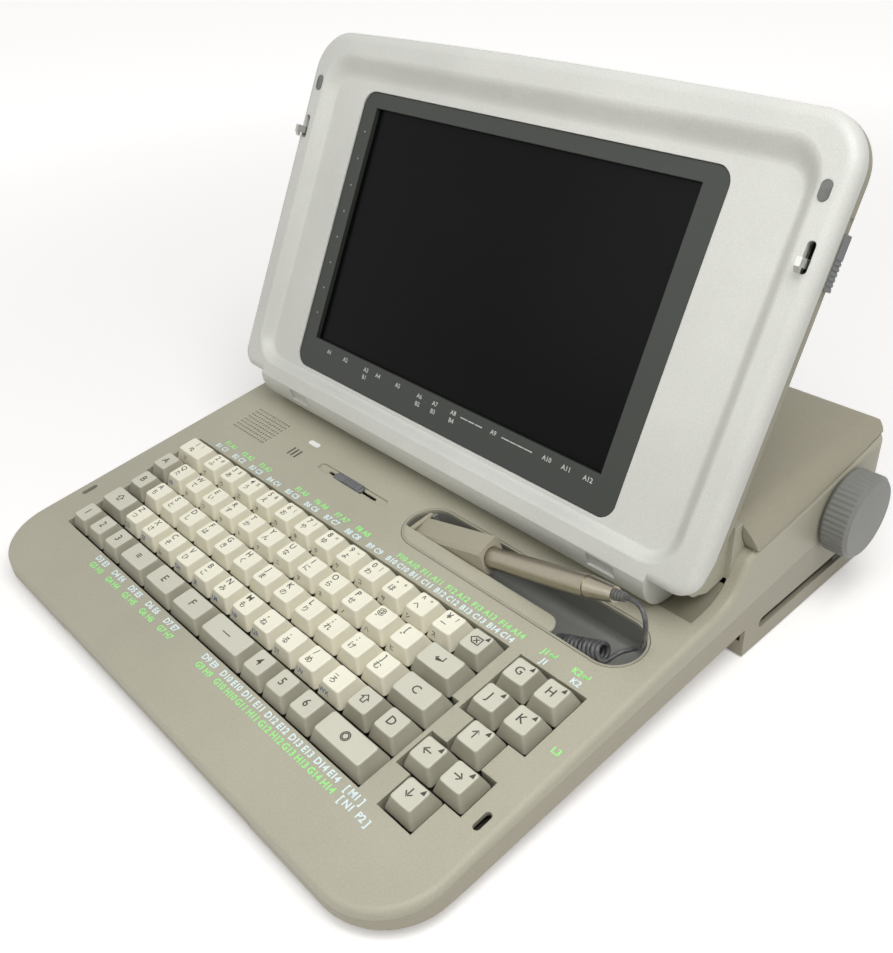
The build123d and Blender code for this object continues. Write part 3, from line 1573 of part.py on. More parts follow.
def lid_back():
    """The lid's rear shell, which ends above the neck."""
    depth = lid_thickness - bezel_depth
    shell = extrude(lid_outline(0), amount=-depth)
    rim = shell.faces().sort_by(Axis.Z)[0].edges()
    shell = fillet(rim, lid_back_radius)
    inside = extrude(lid_outline(wall), amount=-(depth - wall))
    place = lid * Pos(0, 0, -bezel_depth)
    shell = place * shell - toe_wedge(0)
    room = place * inside - toe_wedge(wall)
    shell = shell - room
    top = knuckle_radius - axis_drop + part_gap
    shell = shell - lid * block(2 * (neck_half + part_gap), far, far, 0, top - far / 2, -far)
    stem_low = hook_up - hook_length / 2 - part_gap
    stem_high = hook_up + hook_length / 2 + latch_travel + part_gap
    slot = lid * block(wall * 4, stem_high - stem_low, slider_stem + 2 * part_gap, lid_width / 2,
                       (stem_low + stem_high) / 2, -slider_depth - slider_stem / 2 - part_gap)
    groove = lid * block(2 * slider_sink, slider_groove, slider_height + 2 * part_gap,
                         lid_width / 2, slider_up + latch_travel / 2 - 1.0,
                         -slider_depth - slider_height / 2 - part_gap)
    return shell - slot - groove


def screen_frame():
    """The dark frame round the screen, let into the dished bezel from behind."""
    face = screen_frame_place() * RectangleRounded(
        screen_frame_width - 0.4, screen_frame_height - 0.4, screen_frame_radius)
    flange = screen_frame_place() * RectangleRounded(
        screen_frame_width + 6.0, screen_frame_height + 6.0, screen_frame_radius)
    front = dish_depth + screen_frame_step
    window = screen_place() * Rectangle(screen_width, screen_height)
    flange_back = bezel_depth + screen_frame_sheet - 0.6
    neck_top = knuckle_radius - axis_drop + part_gap
    neck = Pos(0, neck_top - far / 2) * Rectangle(far * 2, far)
    frame = lid_sheet(face, front, bezel_depth)
    frame = frame + lid_sheet(flange - neck, bezel_depth, flange_back)
    return frame - lid_sheet(window, 0, lid_thickness)


def lcd_panel():
    front = bezel_depth + screen_frame_sheet - 0.6
    face = screen_place() * Rectangle(screen_width + 2 * screen_margin, screen_height + 2 * screen_margin)
    return lid_sheet(face, front, front + screen_thickness)


def lid_bumpers():
    pads = []
    for side in (-1, 1):
        pad = Pos(side * bumper_side, bumper_up) * SlotOverall(
            bumper_length - 0.1, bumper_width - 0.1, 90)
        pads.append(lid_sheet(pad, -bumper_proud, bumper_seat))
    return Compound(children=pads)


def latch_hooks():
    """Two hooks on a bar behind the screen."""
    bar_front = bezel_depth + screen_frame_sheet + screen_thickness
    bar_sheet = 1.4
    band = Pos(0, hook_up) * Rectangle(2 * hook_side + hook_width, 8.0)
    latch = lid_sheet(band, bar_front, bar_front + bar_sheet)
    nose_front = closed_gap + wall + 0.5
    for side in (-1, 1):
        place = Pos(side * hook_side, hook_up)
        latch = latch + lid_sheet(place * Rectangle(hook_width, hook_length),
                                  -nose_front - hook_nose, bar_front + bar_sheet)
        nose = poly((hook_up, nose_front), (hook_up - hook_length / 2 - hook_nose, nose_front),
                    (hook_up - hook_length / 2 - hook_nose, nose_front + 0.8),
                    (hook_up - hook_length / 2, nose_front + hook_nose),
                    (hook_up, nose_front + hook_nose))
        low = side * hook_side - hook_width / 2
        latch = latch + lid_bar(nose, low, low + hook_width)
    return latch


def release_slider():
    """The ribbed slider on the lid's right side, with a stem to the hook behind it."""
    width = slider_sink + 0.6
    x = lid_width / 2 - slider_sink + width / 2
    pad = block(width, slider_length, slider_height, x, slider_up, -slider_depth - slider_height / 2)
    for step in range(6):
        rib_y = slider_up - slider_length / 2 + 2.0 + step * 2.2
        pad = pad - block(0.8, 0.9, slider_height + 1, lid_width / 2 + 0.6,
                          rib_y, -slider_depth - slider_height / 2 - 0.5)
    inner = hook_side + hook_width / 2
    stem_length = lid_width / 2 - slider_sink + 0.5 - inner
    stem = block(stem_length, hook_length - 0.6, slider_stem, inner + stem_length / 2,
                 hook_up, -slider_depth - slider_stem / 2)
    return lid * (pad + stem)


# ------------------------------------------------------------------ all the pieces
def main():
    os.makedirs("parts", exist_ok=True)
    print("curly cord least gap", round(least_coil_gap(), 2), "radius", round(coil_radius, 2))
    nodes = {
        "lower_case": lower_case() + switch_frame(),
        "upper_case": upper_case(),
        "rubber_feet": rubber_feet(),
        "case_screws": case_screws(),
        "carry_handle": carry_handle(),
        "hinge_spine": hinge_spine(),
        "hinge_pins": hinge_pins(),
        "keyboard_plate": keyboard_plate(),
        "key_membrane": key_membrane(),
        "main_board": main_board(),
        "power_supply": power_supply(),
        "power_inlet": power_inlet(),
        "power_switch": power_switch(),
        "printer_frame": printer_frame(),
        "carriage_rail": carriage_rail(),
        "print_head": print_head(),
        "platen_roller": platen_roller(),
        "platen_knob": platen_knob(),
        "printer_cover": printer_cover(),
        "floppy_drive": floppy_drive(),
        "drive_flap": drive_flap(),
        "eject_button": eject_button(),
        "speaker": speaker(),
        "lamp_window": lamp_window(),
        "contrast_slider": contrast_slider(),
        "pen_tray": pen_tray(),
        "cord_cover": cord_cover(),
        "pen_holder": pen_holder(),
        "pen": pen(),
        "pen_relief": pen_relief(),
        "pen_cord": pen_cord(),
        "pen_coil": pen_coil(),
        "screen_bezel": screen_bezel(),
        "lid_back": lid_back(),
        "screen_frame": screen_frame(),
        "lcd_panel": lcd_panel(),
        "lid_bumpers": lid_bumpers(),
        "latch_hooks": latch_hooks(),
        "release_slider": release_slider(),
    }
    nodes.update(keys())
    for name, shape in nodes.items():
        export_step(shape, f"parts/{name}.step")
    print(len(nodes), "pieces; hinge axis at Y", round(hinge.Y, 3), "Z", round(hinge.Z, 3))


main()
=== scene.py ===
"""A portable word processor: a wedge-shaped base with a keyboard, a lid with a screen, a printer
block behind, and a pen that stands in a hinged sleeve.  Metres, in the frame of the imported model."""
import math

import bmesh
import bpy
from mathutils import Matrix, Vector


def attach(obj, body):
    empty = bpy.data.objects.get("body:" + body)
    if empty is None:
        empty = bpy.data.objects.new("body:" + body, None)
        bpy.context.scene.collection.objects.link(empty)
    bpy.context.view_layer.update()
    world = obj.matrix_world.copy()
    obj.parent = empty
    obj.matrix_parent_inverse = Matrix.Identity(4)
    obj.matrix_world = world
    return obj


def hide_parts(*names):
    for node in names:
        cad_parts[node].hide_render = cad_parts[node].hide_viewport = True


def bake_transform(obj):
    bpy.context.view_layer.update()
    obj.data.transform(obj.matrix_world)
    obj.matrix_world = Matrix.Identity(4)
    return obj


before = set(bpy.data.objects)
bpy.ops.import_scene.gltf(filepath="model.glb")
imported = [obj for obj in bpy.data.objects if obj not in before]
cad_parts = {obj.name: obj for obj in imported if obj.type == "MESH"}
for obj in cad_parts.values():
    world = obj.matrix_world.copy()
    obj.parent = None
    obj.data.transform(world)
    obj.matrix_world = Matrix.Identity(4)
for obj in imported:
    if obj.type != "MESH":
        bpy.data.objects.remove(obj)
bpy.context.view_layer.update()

# ------------------------------------------------------------------ camera
# The photograph is taken from the front right, from a little over half an arm's length.
eye = Vector((0.3554, -0.2911, 0.3626))
to_right = Vector((0.6798, 0.7316, -0.0509))
to_top = Vector((-0.3766, 0.4077, 0.8318))
to_eye = to_right.cross(to_top).normalized()
to_top = to_eye.cross(to_right)
camera = bpy.data.objects.new("camera", bpy.data.cameras.new("camera"))
camera.data.sensor_fit = "HORIZONTAL"
camera.data.sensor_width = 36.0
camera.data.lens = 40.28
camera.data.clip_start = 0.01
turn = Matrix((to_right, to_top, to_eye)).transposed().to_4x4()
camera.matrix_world = Matrix.Translation(eye) @ turn
bpy.context.scene.collection.objects.link(camera)
bpy.context.scene.camera = camera

# ------------------------------------------------------------------ pen cord and its coil
# A limp cord of dark grey PVC, 2.3 mm thick.  It leaves the pen's tail through a ribbed sleeve,
# bows over the right end of the tray and goes into a coil that lies along the tray's front.
deck_tilt = math.radians(7)
deck = Matrix.Translation((-0.008, -0.181, 0.0176)) @ Matrix.Rotation(deck_tilt, 4, "X")
cord_width = 0.0023
cord_route = [
    (0.1597, 0.1726, 0.0315), (0.1650, 0.1726, 0.0331), (0.1704, 0.1710, 0.0314),
    (0.1733, 0.1689, 0.0264), (0.1728, 0.1687, 0.0188), (0.1702, 0.1706, 0.0106),
    (0.1666, 0.1724, 0.0036), (0.1616, 0.1711, -0.0002), (0.15775, 0.16696, -0.00145),
    (0.15717, 0.1615, -0.00173),
]
coil_pitch = 0.003
coil_turns = 11
coil_lead = 0.25
coil_points_a_turn = 16
coil_wound_radius = 0.00405
coil_radius = coil_wound_radius / ((3 + math.cos(2 * math.pi / coil_points_a_turn)) / 4)
coil_lift = math.radians(-26.5)
coil_frame = Matrix.Translation((0.1265, 0.1615, -0.0125)) @ Matrix.Rotation(coil_lift, 4, "Y")
coil_outlet = (0.12988, 0.16555, -0.0219)


def linear(code):
    """An sRGB colour as the shader takes it."""
    parts = [int(code[k:k + 2], 16) / 255 for k in (0, 2, 4)]
    return tuple(c / 12.92 if c <= 0.04045 else ((c + 0.055) / 1.055) ** 2.4 for c in parts) + (1.0,)


def add(tree, kind, values=None, links=None, **settings):
    """Adds one node with its settings, its values and what is plugged into it."""
    node = tree.nodes.new(kind)
    for name, value in settings.items():
        setattr(node, name, value)
    for socket, value in (values or {}).items():
        node.inputs[socket].default_value = value
    for socket, source in (links or {}).items():
        tree.links.new(source, node.inputs[socket])
    return node


def blank_material(name):
    material = bpy.data.materials.new(name)
    material.use_nodes = True
    material.node_tree.nodes.clear()
    return material, material.node_tree


def close_material(tree, shader):
    add(tree, "ShaderNodeOutputMaterial", links={"Surface": shader.outputs[0]})


def link(obj):
    bpy.context.scene.collection.objects.link(obj)
    return obj


def as_mesh(obj, name):
    """A plain mesh object of what an object shows; the object itself goes."""
    bpy.context.view_layer.update()
    graph = bpy.context.evaluated_depsgraph_get()
    mesh = bpy.data.meshes.new_from_object(obj.evaluated_get(graph))
    mesh.transform(obj.matrix_world)
    bpy.data.objects.remove(obj)
    made = link(bpy.data.objects.new(name, mesh))
    mesh.name = name
    return made


def cord_curve(name, points, width):
    curve = bpy.data.curves.new(name, "CURVE")
    curve.dimensions = "3D"
    curve.resolution_u = 6
    spline = curve.splines.new("NURBS")
    spline.points.add(len(points) - 1)
    for point, place in zip(spline.points, points):
        point.co = (*place, 1.0)
    spline.order_u = 3
    spline.use_endpoint_u = True
    curve.bevel_depth = width / 2
    curve.bevel_resolution = 4
    curve.use_fill_caps = True
    return link(bpy.data.objects.new(name, curve))


def soft_pvc(name, colour):
    """PVC sleeve: smooth, a little waxy, faint dust in patches."""
    material, tree = blank_material(name)
    place = add(tree, "ShaderNodeTexCoord").outputs["Object"]
    dust = add(tree, "ShaderNodeTexNoise", {"Scale": 260.0, "Detail": 4.0}, {"Vector": place})
    tone = add(tree, "ShaderNodeValToRGB", links={"Fac": dust.outputs["Fac"]})
    tone.color_ramp.elements[0].position = 0.35
    tone.color_ramp.elements[1].position = 0.75
    tone.color_ramp.elements[0].color = linear(colour)
    tone.color_ramp.elements[1].color = linear("6a6b6a")
    rough = add(tree, "ShaderNodeMapRange", {"To Min": 0.32, "To Max": 0.5},
                {"Value": dust.outputs["Fac"]})
    fine = add(tree, "ShaderNodeTexNoise", {"Scale": 2400.0, "Detail": 2.0}, {"Vector": place})
    bump = add(tree, "ShaderNodeBump", {"Strength": 0.15, "Distance": 0.0001},
               {"Height": fine.outputs["Fac"]})
    shader = add(tree, "ShaderNodeBsdfPrincipled", {"IOR": 1.5},
                 {"Base Color": tone.outputs["Color"], "Roughness": rough.outputs["Result"],
                  "Normal": bump.outputs["Normal"]})
    close_material(tree, shader)
    return material


cord_pvc = soft_pvc("cord sleeve, dark grey PVC", "3a3b3c")
run_points = [deck @ Vector(point) for point in cord_route]
run_curve = cord_curve("pen_cord_run", run_points, 0)
centre_line = as_mesh(run_curve, "centre_line")
bpy.data.objects.remove(centre_line)
cord_run = as_mesh(cord_curve("pen_cord_run", run_points, cord_width), "pen_cord_run")
cord_run.data.materials.append(cord_pvc)
for face in cord_run.data.polygons:
    face.use_smooth = True
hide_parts("pen_cord")
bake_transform(cord_run)

coil_points = []
for step in range(round((coil_turns - coil_lead) * coil_points_a_turn) + 1):
    turns = coil_lead + step / coil_points_a_turn
    angle = 2 * math.pi * turns
    local = Vector(((coil_turns - turns) * coil_pitch, coil_radius * math.cos(angle),
                    -coil_radius * math.sin(angle)))
    coil_points.append(deck @ coil_frame @ local)
coil_points.append(deck @ Vector(coil_outlet))
coil = cord_curve("pen_cord_coil", coil_points, cord_width)
coil.data.materials.append(cord_pvc)
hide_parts("pen_coil")
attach(coil, "base")

# ------------------------------------------------------------------ lower and upper case
# Two halves of moulded ABS in a warm grey beige with a fine spark-eroded texture, screwed together
# from below.  Handling has left the texture a little smoother and paler along the edges.
deck_up = (0, -0.1219, 0.9925)          # square to the deck
rim_level = (0.0375, 0.0380)            # along that, just under the level of the deck


def moulded_abs(name, colour, pale, grain=0.0007, rough=(0.42, 0.58), depth=0.00003,
                edge=0.0006, rim=None):
    """Moulded ABS: even colour with a slight drift, fine texture, edges rubbed paler.

    A piece with a rim has that colour where it reaches the level of the deck.
    """
    material, tree = blank_material(name)
    place = add(tree, "ShaderNodeTexCoord").outputs["Object"]
    drift = add(tree, "ShaderNodeTexNoise", {"Scale": 16.0, "Detail": 4.0}, {"Vector": place})
    grit = add(tree, "ShaderNodeTexNoise", {"Scale": 1 / grain, "Detail": 2.0}, {"Vector": place})
    tone = add(tree, "ShaderNodeValToRGB", links={"Fac": drift.outputs["Fac"]})
    tone.color_ramp.elements[0].position = 0.3
    tone.color_ramp.elements[1].position = 0.7
    base = linear(colour)
    tone.color_ramp.elements[0].color = tuple(c * 0.94 for c in base[:3]) + (1.0,)
    tone.color_ramp.elements[1].color = tuple(min(1, c * 1.05) for c in base[:3]) + (1.0,)
    colour_in = tone.outputs["Color"]
    if rim:
        height = add(tree, "ShaderNodeVectorMath", {1: deck_up}, {0: place}, operation="DOT_PRODUCT")
        level = add(tree, "ShaderNodeMapRange", {"From Min": rim_level[0], "From Max": rim_level[1]},
                    {"Value": height.outputs["Value"]})
        two = add(tree, "ShaderNodeMix", links={0: level.outputs["Result"], 6: colour_in},
                  data_type="RGBA")
        two.inputs[7].default_value = linear(rim)
        colour_in = two.outputs[2]
    speck = add(tree, "ShaderNodeMapRange",
                {"From Min": 0.35, "From Max": 0.65, "To Min": 0.95, "To Max": 1.05},
                {"Value": grit.outputs["Fac"]})
    speckled = add(tree, "ShaderNodeVectorMath", links={0: colour_in, 1: speck.outputs["Result"]},
                   operation="MULTIPLY")
    round_edge = add(tree, "ShaderNodeBevel", {"Radius": edge}, samples=4)
    facing = add(tree, "ShaderNodeNewGeometry").outputs["Normal"]
    meet = add(tree, "ShaderNodeVectorMath", links={0: round_edge.outputs["Normal"], 1: facing},
               operation="DOT_PRODUCT")
    worn = add(tree, "ShaderNodeMapRange",
               {"From Min": 0.99, "From Max": 0.86, "To Min": 0.0, "To Max": 0.45},
               {"Value": meet.outputs["Value"]})
    colour_out = add(tree, "ShaderNodeMix",
                     links={0: worn.outputs["Result"], 6: speckled.outputs["Vector"]},
                     data_type="RGBA")
    colour_out.inputs[7].default_value = linear(pale)
    sheen = add(tree, "ShaderNodeMapRange",
                {"From Min": 0.3, "From Max": 0.7, "To Min": rough[0], "To Max": rough[1]},
                {"Value": drift.outputs["Fac"]})
    bump = add(tree, "ShaderNodeBump", {"Strength": 0.5, "Distance": depth},
               {"Height": grit.outputs["Fac"], "Normal": round_edge.outputs["Normal"]})
    shader = add(tree, "ShaderNodeBsdfPrincipled", {"IOR": 1.5},
                 {"Base Color": colour_out.outputs[2], "Roughness": sheen.outputs["Result"],
                  "Normal": bump.outputs["Normal"]})
    close_material(tree, shader)
    return material


def finish(material, *nodes):
    for name in nodes:
        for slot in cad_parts[name].material_slots:
            slot.material = material


case_abs = moulded_abs("case, moulded ABS, warm grey beige", "afac9a", "c6c3b3")
lower_abs = moulded_abs("lower case, moulded ABS", "a19c8a", "b8b3a2")
finish(case_abs, "upper_case", "cord_cover")
finish(lower_abs, "lower_case", "carry_handle")

# ------------------------------------------------------------------ feet and screws
# Black rubber feet pressed into the floor, and zinc-plated cross-head screws.


def rubber(name, colour):
    """Moulded rubber: matt, with a faint bloom."""
    material, tree = blank_material(name)
    place = add(tree, "ShaderNodeTexCoord").outputs["Object"]
    bloom = add(tree, "ShaderNodeTexNoise", {"Scale": 180.0, "Detail": 5.0}, {"Vector": place})
    tone = add(tree, "ShaderNodeValToRGB", links={"Fac": bloom.outputs["Fac"]})
    tone.color_ramp.elements[0].color = linear(colour)
    tone.color_ramp.elements[1].color = linear("4a4a49")
    tone.color_ramp.elements[1].position = 0.9
    grain = add(tree, "ShaderNodeTexNoise", {"Scale": 1500.0}, {"Vector": place})
    bump = add(tree, "ShaderNodeBump", {"Strength": 0.4, "Distance": 0.00005},
               {"Height": grain.outputs["Fac"]})
    shader = add(tree, "ShaderNodeBsdfPrincipled", {"Roughness": 0.8, "IOR": 1.5},
                 {"Base Color": tone.outputs["Color"], "Normal": bump.outputs["Normal"]})
    close_material(tree, shader)
    return material


def metal(name, colour, rough, brush=(900.0, 900.0, 900.0)):
    """Bare or plated metal: the noise is drawn out along the way that it was worked."""
    material, tree = blank_material(name)
    place = add(tree, "ShaderNodeTexCoord").outputs["Object"]
    drawn = add(tree, "ShaderNodeMapping", {"Scale": brush}, {"Vector": place})
    lines = add(tree, "ShaderNodeTexNoise", {"Scale": 1.0, "Detail": 3.0},
                {"Vector": drawn.outputs["Vector"]})
    haze = add(tree, "ShaderNodeMapRange", {"To Min": rough * 0.8, "To Max": rough * 1.25},
               {"Value": lines.outputs["Fac"]})
    tone = add(tree, "ShaderNodeValToRGB", links={"Fac": lines.outputs["Fac"]})
    base = linear(colour)
    tone.color_ramp.elements[0].color = tuple(c * 0.85 for c in base[:3]) + (1.0,)
    tone.color_ramp.elements[1].color = tuple(min(1, c * 1.1) for c in base[:3]) + (1.0,)
    bump = add(tree, "ShaderNodeBump", {"Strength": 0.08, "Distance": 0.00005},
               {"Height": lines.outputs["Fac"]})
    shader = add(tree, "ShaderNodeBsdfPrincipled", {"Metallic": 1.0},
                 {"Base Color": tone.outputs["Color"], "Roughness": haze.outputs["Result"],
                  "Normal": bump.outputs["Normal"]})
    close_material(tree, shader)
    return material


black_rubber = rubber("feet, black rubber", "1c1c1c")
zinc = metal("screws and pins, zinc-plated steel", "9a9c9e", 0.34)
finish(black_rubber, "rubber_feet", "platen_roller", "key_membrane")
finish(zinc, "case_screws", "hinge_pins", "carriage_rail", "power_supply")

# ------------------------------------------------------------------ inside of the case
# Keyboard plate, circuit board, printer frame, print head and disk drive, in dark engineering
# plastics and a green glass-fibre board; they are seen only through the openings.
inner_abs = moulded_abs("inner parts, dark grey ABS", "34352f", "4a4a44", rough=(0.5, 0.7))
board_resin = moulded_abs("circuit board, green glass-fibre laminate", "1f5a38", "3c7a55",
                          rough=(0.25, 0.4))
finish(inner_abs, "keyboard_plate", "printer_frame", "print_head", "floppy_drive", "drive_flap",
       "speaker", "power_inlet", "power_switch")
finish(board_resin, "main_board")
grey_abs = moulded_abs("slider and eject button, grey ABS", "6a6c6e", "8a8c8d")
finish(grey_abs, "contrast_slider", "eject_button")

# ------------------------------------------------------------------ keys
# Injection-moulded caps, 19 mm apart: ivory for the letters, warm grey for the functions.  Each
# has a square skirt, sloping sides, softly rounded edges and a top that is dished across.
pitch = 0.019
block_left = -0.1591
block_back = 0.136
cap_gap = 0.0008
cap_top = 0.0057
cap_foot = -0.0028
cap_taper = 0.0029
cap_dish = 0.0003
cap_round = 0.0009
cap_corner = 0.0016
key_runs = {
    "keys_number_row": [(0, 0, 1.5, 1), (0, 1.5, 1, 12)],
    "key_backspace": [(0, 13.5, 1, 1)],
    "keys_side": [(1, 0, 1, 1), (2, 0.25, 1, 1)],
    "keys_upper_row": [(1, 1, 1, 12)],
    "key_enter": [(1, 13, 1.5, 1)],
    "keys_home_row": [(2, 1.25, 1, 12)],
    "keys_mode": [(2, 13.25, 1.5, 1), (3, 13.75, 1, 1)],
    "key_left_shift": [(3, 0.25, 1.5, 1)],
    "keys_lower_row": [(3, 1.75, 1, 11)],
    "key_right_shift": [(3, 12.75, 1, 1)],
    "keys_function": [(4, 0.25, 1, 3), (4, 9.75, 1, 3)],
    "key_menu": [(4, 3.25, 1.5, 1)],
    "keys_convert": [(4, 4.75, 1.5, 2)],
    "key_space": [(4, 7.75, 2, 1)],
    "key_execute": [(4, 12.75, 2, 1)],
    "keys_edit": [(0, 15, 1, 2), (1, 15, 1, 2)],
    "key_up": [(2, 15.5, 1, 1)],
    "key_left": [(3, 15, 1, 1)],
    "key_right": [(3, 16, 1, 1)],
    "key_down": [(4, 15.5, 1, 1)],
}
ivory_rows = ("keys_number_row", "keys_upper_row", "keys_home_row", "keys_lower_row")


def outline(half_x, half_y, corner, sides=6, arc=4):
    """A rectangle with rounded corners, its sides cut into short stretches for the dish."""
    places = []
    for quarter, (sx, sy) in enumerate(((1, 1), (-1, 1), (-1, -1), (1, -1))):
        middle = Vector((sx * (half_x - corner), sy * (half_y - corner)))
        for step in range(arc + 1):
            angle = math.pi / 2 * (quarter + step / arc)
            places.append(middle + corner * Vector((math.cos(angle), math.sin(angle))))
        nxt = ((-1, 1), (-1, -1), (1, -1), (1, 1))[quarter]
        end = Vector((nxt[0] * (half_x - corner), nxt[1] * (half_y - corner)))
        angle = math.pi / 2 * (quarter + 1)
        end = end + corner * Vector((math.cos(angle), math.sin(angle)))
        start = places[-1]
        places += [start.lerp(end, step / sides) for step in range(1, sides)]
    return places


def dish(x, half_x):
    return cap_dish * (1 - min(1, (x / half_x) ** 2))


def cap_mesh(width):
    """A cap, standing where it stands at rest over the deck."""
    half_x = (width * pitch - cap_gap) / 2
    half_y = (pitch - cap_gap) / 2
    height = cap_top - cap_foot
    slope = math.atan2(cap_taper, height)
    shoulder = cap_top - cap_round * (1 - math.sin(slope))
    inset = cap_taper * (shoulder - cap_foot) / height
    rings = [(0, cap_foot), (inset * 0.05, cap_foot + (shoulder - cap_foot) * 0.05),
             (inset * 0.95, cap_foot + (shoulder - cap_foot) * 0.95), (inset, shoulder)]
    middle = inset + cap_round * math.cos(slope)
    for step in range(1, 6):
        angle = slope + (math.pi / 2 - slope) * step / 5
        rings.append((middle - cap_round * math.cos(angle),
                      cap_top - cap_round * (1 - math.sin(angle))))
    top_x = half_x - middle
    shape = bmesh.new()
    loops = []
    for inward, level in rings:
        share = (level - cap_foot) / height
        ring = outline(half_x - inward, half_y - inward, cap_corner)
        loops.append([shape.verts.new((p.x, p.y, level - share ** 3 * dish(p.x, top_x))) for p in ring])
    rim = outline(half_x - middle, half_y - middle, cap_corner)
    for share in (0.96, 0.8, 0.55, 0.3, 0.1):
        loops.append([shape.verts.new((p.x * share, p.y * share, cap_top - dish(p.x * share, top_x)))
                      for p in rim])
    for low, high in zip(loops, loops[1:]):
        for k in range(len(low)):
            after = (k + 1) % len(low)
            shape.faces.new((low[k], low[after], high[after], high[k]))
    shape.faces.new(loops[-1])
    shape.faces.new(reversed(loops[0]))
    bmesh.ops.recalc_face_normals(shape, faces=shape.faces)
    for face in shape.faces:
        face.smooth = face.normal.z > -0.9
    mesh = bpy.data.meshes.new("cap")
    shape.to_mesh(mesh)
    shape.free()
    return mesh


def key_plastic(name, top, side, pale):
    """Cap plastic: the top rubbed smooth by fingers, the sides still with their moulded texture and
    coloured darker than the top as painted shade.
    """
    material, tree = blank_material(name)
    coords = add(tree, "ShaderNodeTexCoord")
    drift = add(tree, "ShaderNodeTexNoise", {"Scale": 40.0, "Detail": 3.0},
                {"Vector": coords.outputs["Object"]})
    grit = add(tree, "ShaderNodeTexNoise", {"Scale": 1600.0}, {"Vector": coords.outputs["Object"]})
    up = add(tree, "ShaderNodeVectorMath", {1: deck_up}, {0: coords.outputs["Normal"]},
             operation="DOT_PRODUCT")
    on_top = add(tree, "ShaderNodeMapRange", {"From Min": 0.75, "From Max": 0.98},
                 {"Value": up.outputs["Value"]})
    # Painted shade: faces that turn away from the deck's up direction get the darker side colour
    # instead of the top colour.
    colour = add(tree, "ShaderNodeMix", links={0: on_top.outputs["Result"]}, data_type="RGBA")
    colour.inputs[6].default_value = linear(side)
    colour.inputs[7].default_value = linear(top)
    aged = add(tree, "ShaderNodeMapRange", {"From Min": 0.4, "From Max": 0.75, "To Max": 0.35},
               {"Value": drift.outputs["Fac"]})
    shade = add(tree, "ShaderNodeMix", links={0: aged.outputs["Result"], 6: colour.outputs[2]},
                data_type="RGBA")
    shade.inputs[7].default_value = linear(pale)
    rough = add(tree, "ShaderNodeMapRange", {"To Min": 0.55, "To Max": 0.38},
                {"Value": on_top.outputs["Result"]})
    bump = add(tree, "ShaderNodeBump", {"Strength": 0.35, "Distance": 0.00003},
               {"Height": grit.outputs["Fac"]})
    shader = add(tree, "ShaderNodeBsdfPrincipled", {"IOR": 1.5},
                 {"Base Color": shade.outputs[2], "Roughness": rough.outputs["Result"],
                  "Normal": bump.outputs["Normal"]})
    close_material(tree, shader)
    return material


# The third colour of each is the painted shade of the cap sides, a darker copy of the top colour.
ivory = key_plastic("letter keys, ivory ABS", "f3f1de", "dcd8c5", "ebe7d0")
warm_grey = key_plastic("function keys, warm grey ABS", "d0cfbf", "a29f8e", "c4c1b0")


def key_run_tree():
    """Caps in a run: a line of points along the deck, a cap on each, made real."""
    tree = bpy.data.node_groups.new("run of keys", "GeometryNodeTree")
    for name, kind in (("Cap", "NodeSocketObject"), ("Count", "NodeSocketInt"),
                       ("Start", "NodeSocketVector"), ("Step", "NodeSocketFloat"),
                       ("Tilt", "NodeSocketFloat"), ("Finish", "NodeSocketMaterial")):
        tree.interface.new_socket(name, in_out="INPUT", socket_type=kind)
    tree.interface.new_socket("Geometry", in_out="OUTPUT", socket_type="NodeSocketGeometry")
    given = add(tree, "NodeGroupInput").outputs
    step = add(tree, "ShaderNodeCombineXYZ", links={"X": given["Step"]})
    line = add(tree, "GeometryNodeMeshLine",
               links={"Count": given["Count"], "Start Location": given["Start"],
                      "Offset": step.outputs[0]}, mode="OFFSET")
    tilt = add(tree, "ShaderNodeCombineXYZ", links={"X": given["Tilt"]})
    cap = add(tree, "GeometryNodeObjectInfo", links={"Object": given["Cap"]})
    caps = add(tree, "GeometryNodeInstanceOnPoints", links={"Points": line.outputs["Mesh"],
                                                            "Instance": cap.outputs["Geometry"],
                                                            "Rotation": tilt.outputs[0]})
    real = add(tree, "GeometryNodeRealizeInstances", links={"Geometry": caps.outputs["Instances"]})
    done = add(tree, "GeometryNodeSetMaterial", links={"Geometry": real.outputs["Geometry"],
                                                       "Material": given["Finish"]})
    add(tree, "NodeGroupOutput", links={"Geometry": done.outputs["Geometry"]})
    return tree


def set_inputs(modifier, **values):
    """Gives a modifier's inputs by their names; Blender wants the sockets' identifiers."""
    sockets = {item.name: item.identifier for item in modifier.node_group.interface.items_tree
               if item.in_out == "INPUT"}
    for name, value in values.items():
        modifier[sockets[name.replace("_", " ")]] = value


def join(name, parts):
    """One mesh object out of several."""
    shape = bmesh.new()
    materials = []
    for part in parts:
        shift = len(materials)
        materials += list(part.data.materials)
        before = len(shape.faces)
        shape.from_mesh(part.data)
        shape.faces.ensure_lookup_table()
        for face in shape.faces[before:]:
            face.material_index += shift
        bpy.data.objects.remove(part)
    mesh = bpy.data.meshes.new(name)
    shape.to_mesh(mesh)
    shape.free()
    for material in materials:
        mesh.materials.append(material)
    return link(bpy.data.objects.new(name, mesh))


run_tree = key_run_tree()
cap_shapes = {}
for width in (1, 1.5, 2):
    cap_shapes[width] = bpy.data.objects.new("cap_shape", cap_mesh(width))
    link(cap_shapes[width])
for node, runs in key_runs.items():
    parts = []
    for row, start, width, count in runs:
        place = deck @ Vector((block_left + (start + width / 2) * pitch,
                               block_back - (row + 0.5) * pitch, 0))
        carrier = link(bpy.data.objects.new("run", bpy.data.meshes.new("run")))
        modifier = carrier.modifiers.new("run of keys", "NODES")
        modifier.node_group = run_tree
        set_inputs(modifier, Cap=cap_shapes[width], Count=count, Start=place, Step=width * pitch,
                   Tilt=deck_tilt, Finish=ivory if node in ivory_rows else warm_grey)
        parts.append(as_mesh(carrier, "run"))
    caps = join(node.replace("key", "cap", 1), parts)
    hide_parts(node)
    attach(caps, node)
for shape in cap_shapes.values():
    bpy.data.objects.remove(shape)

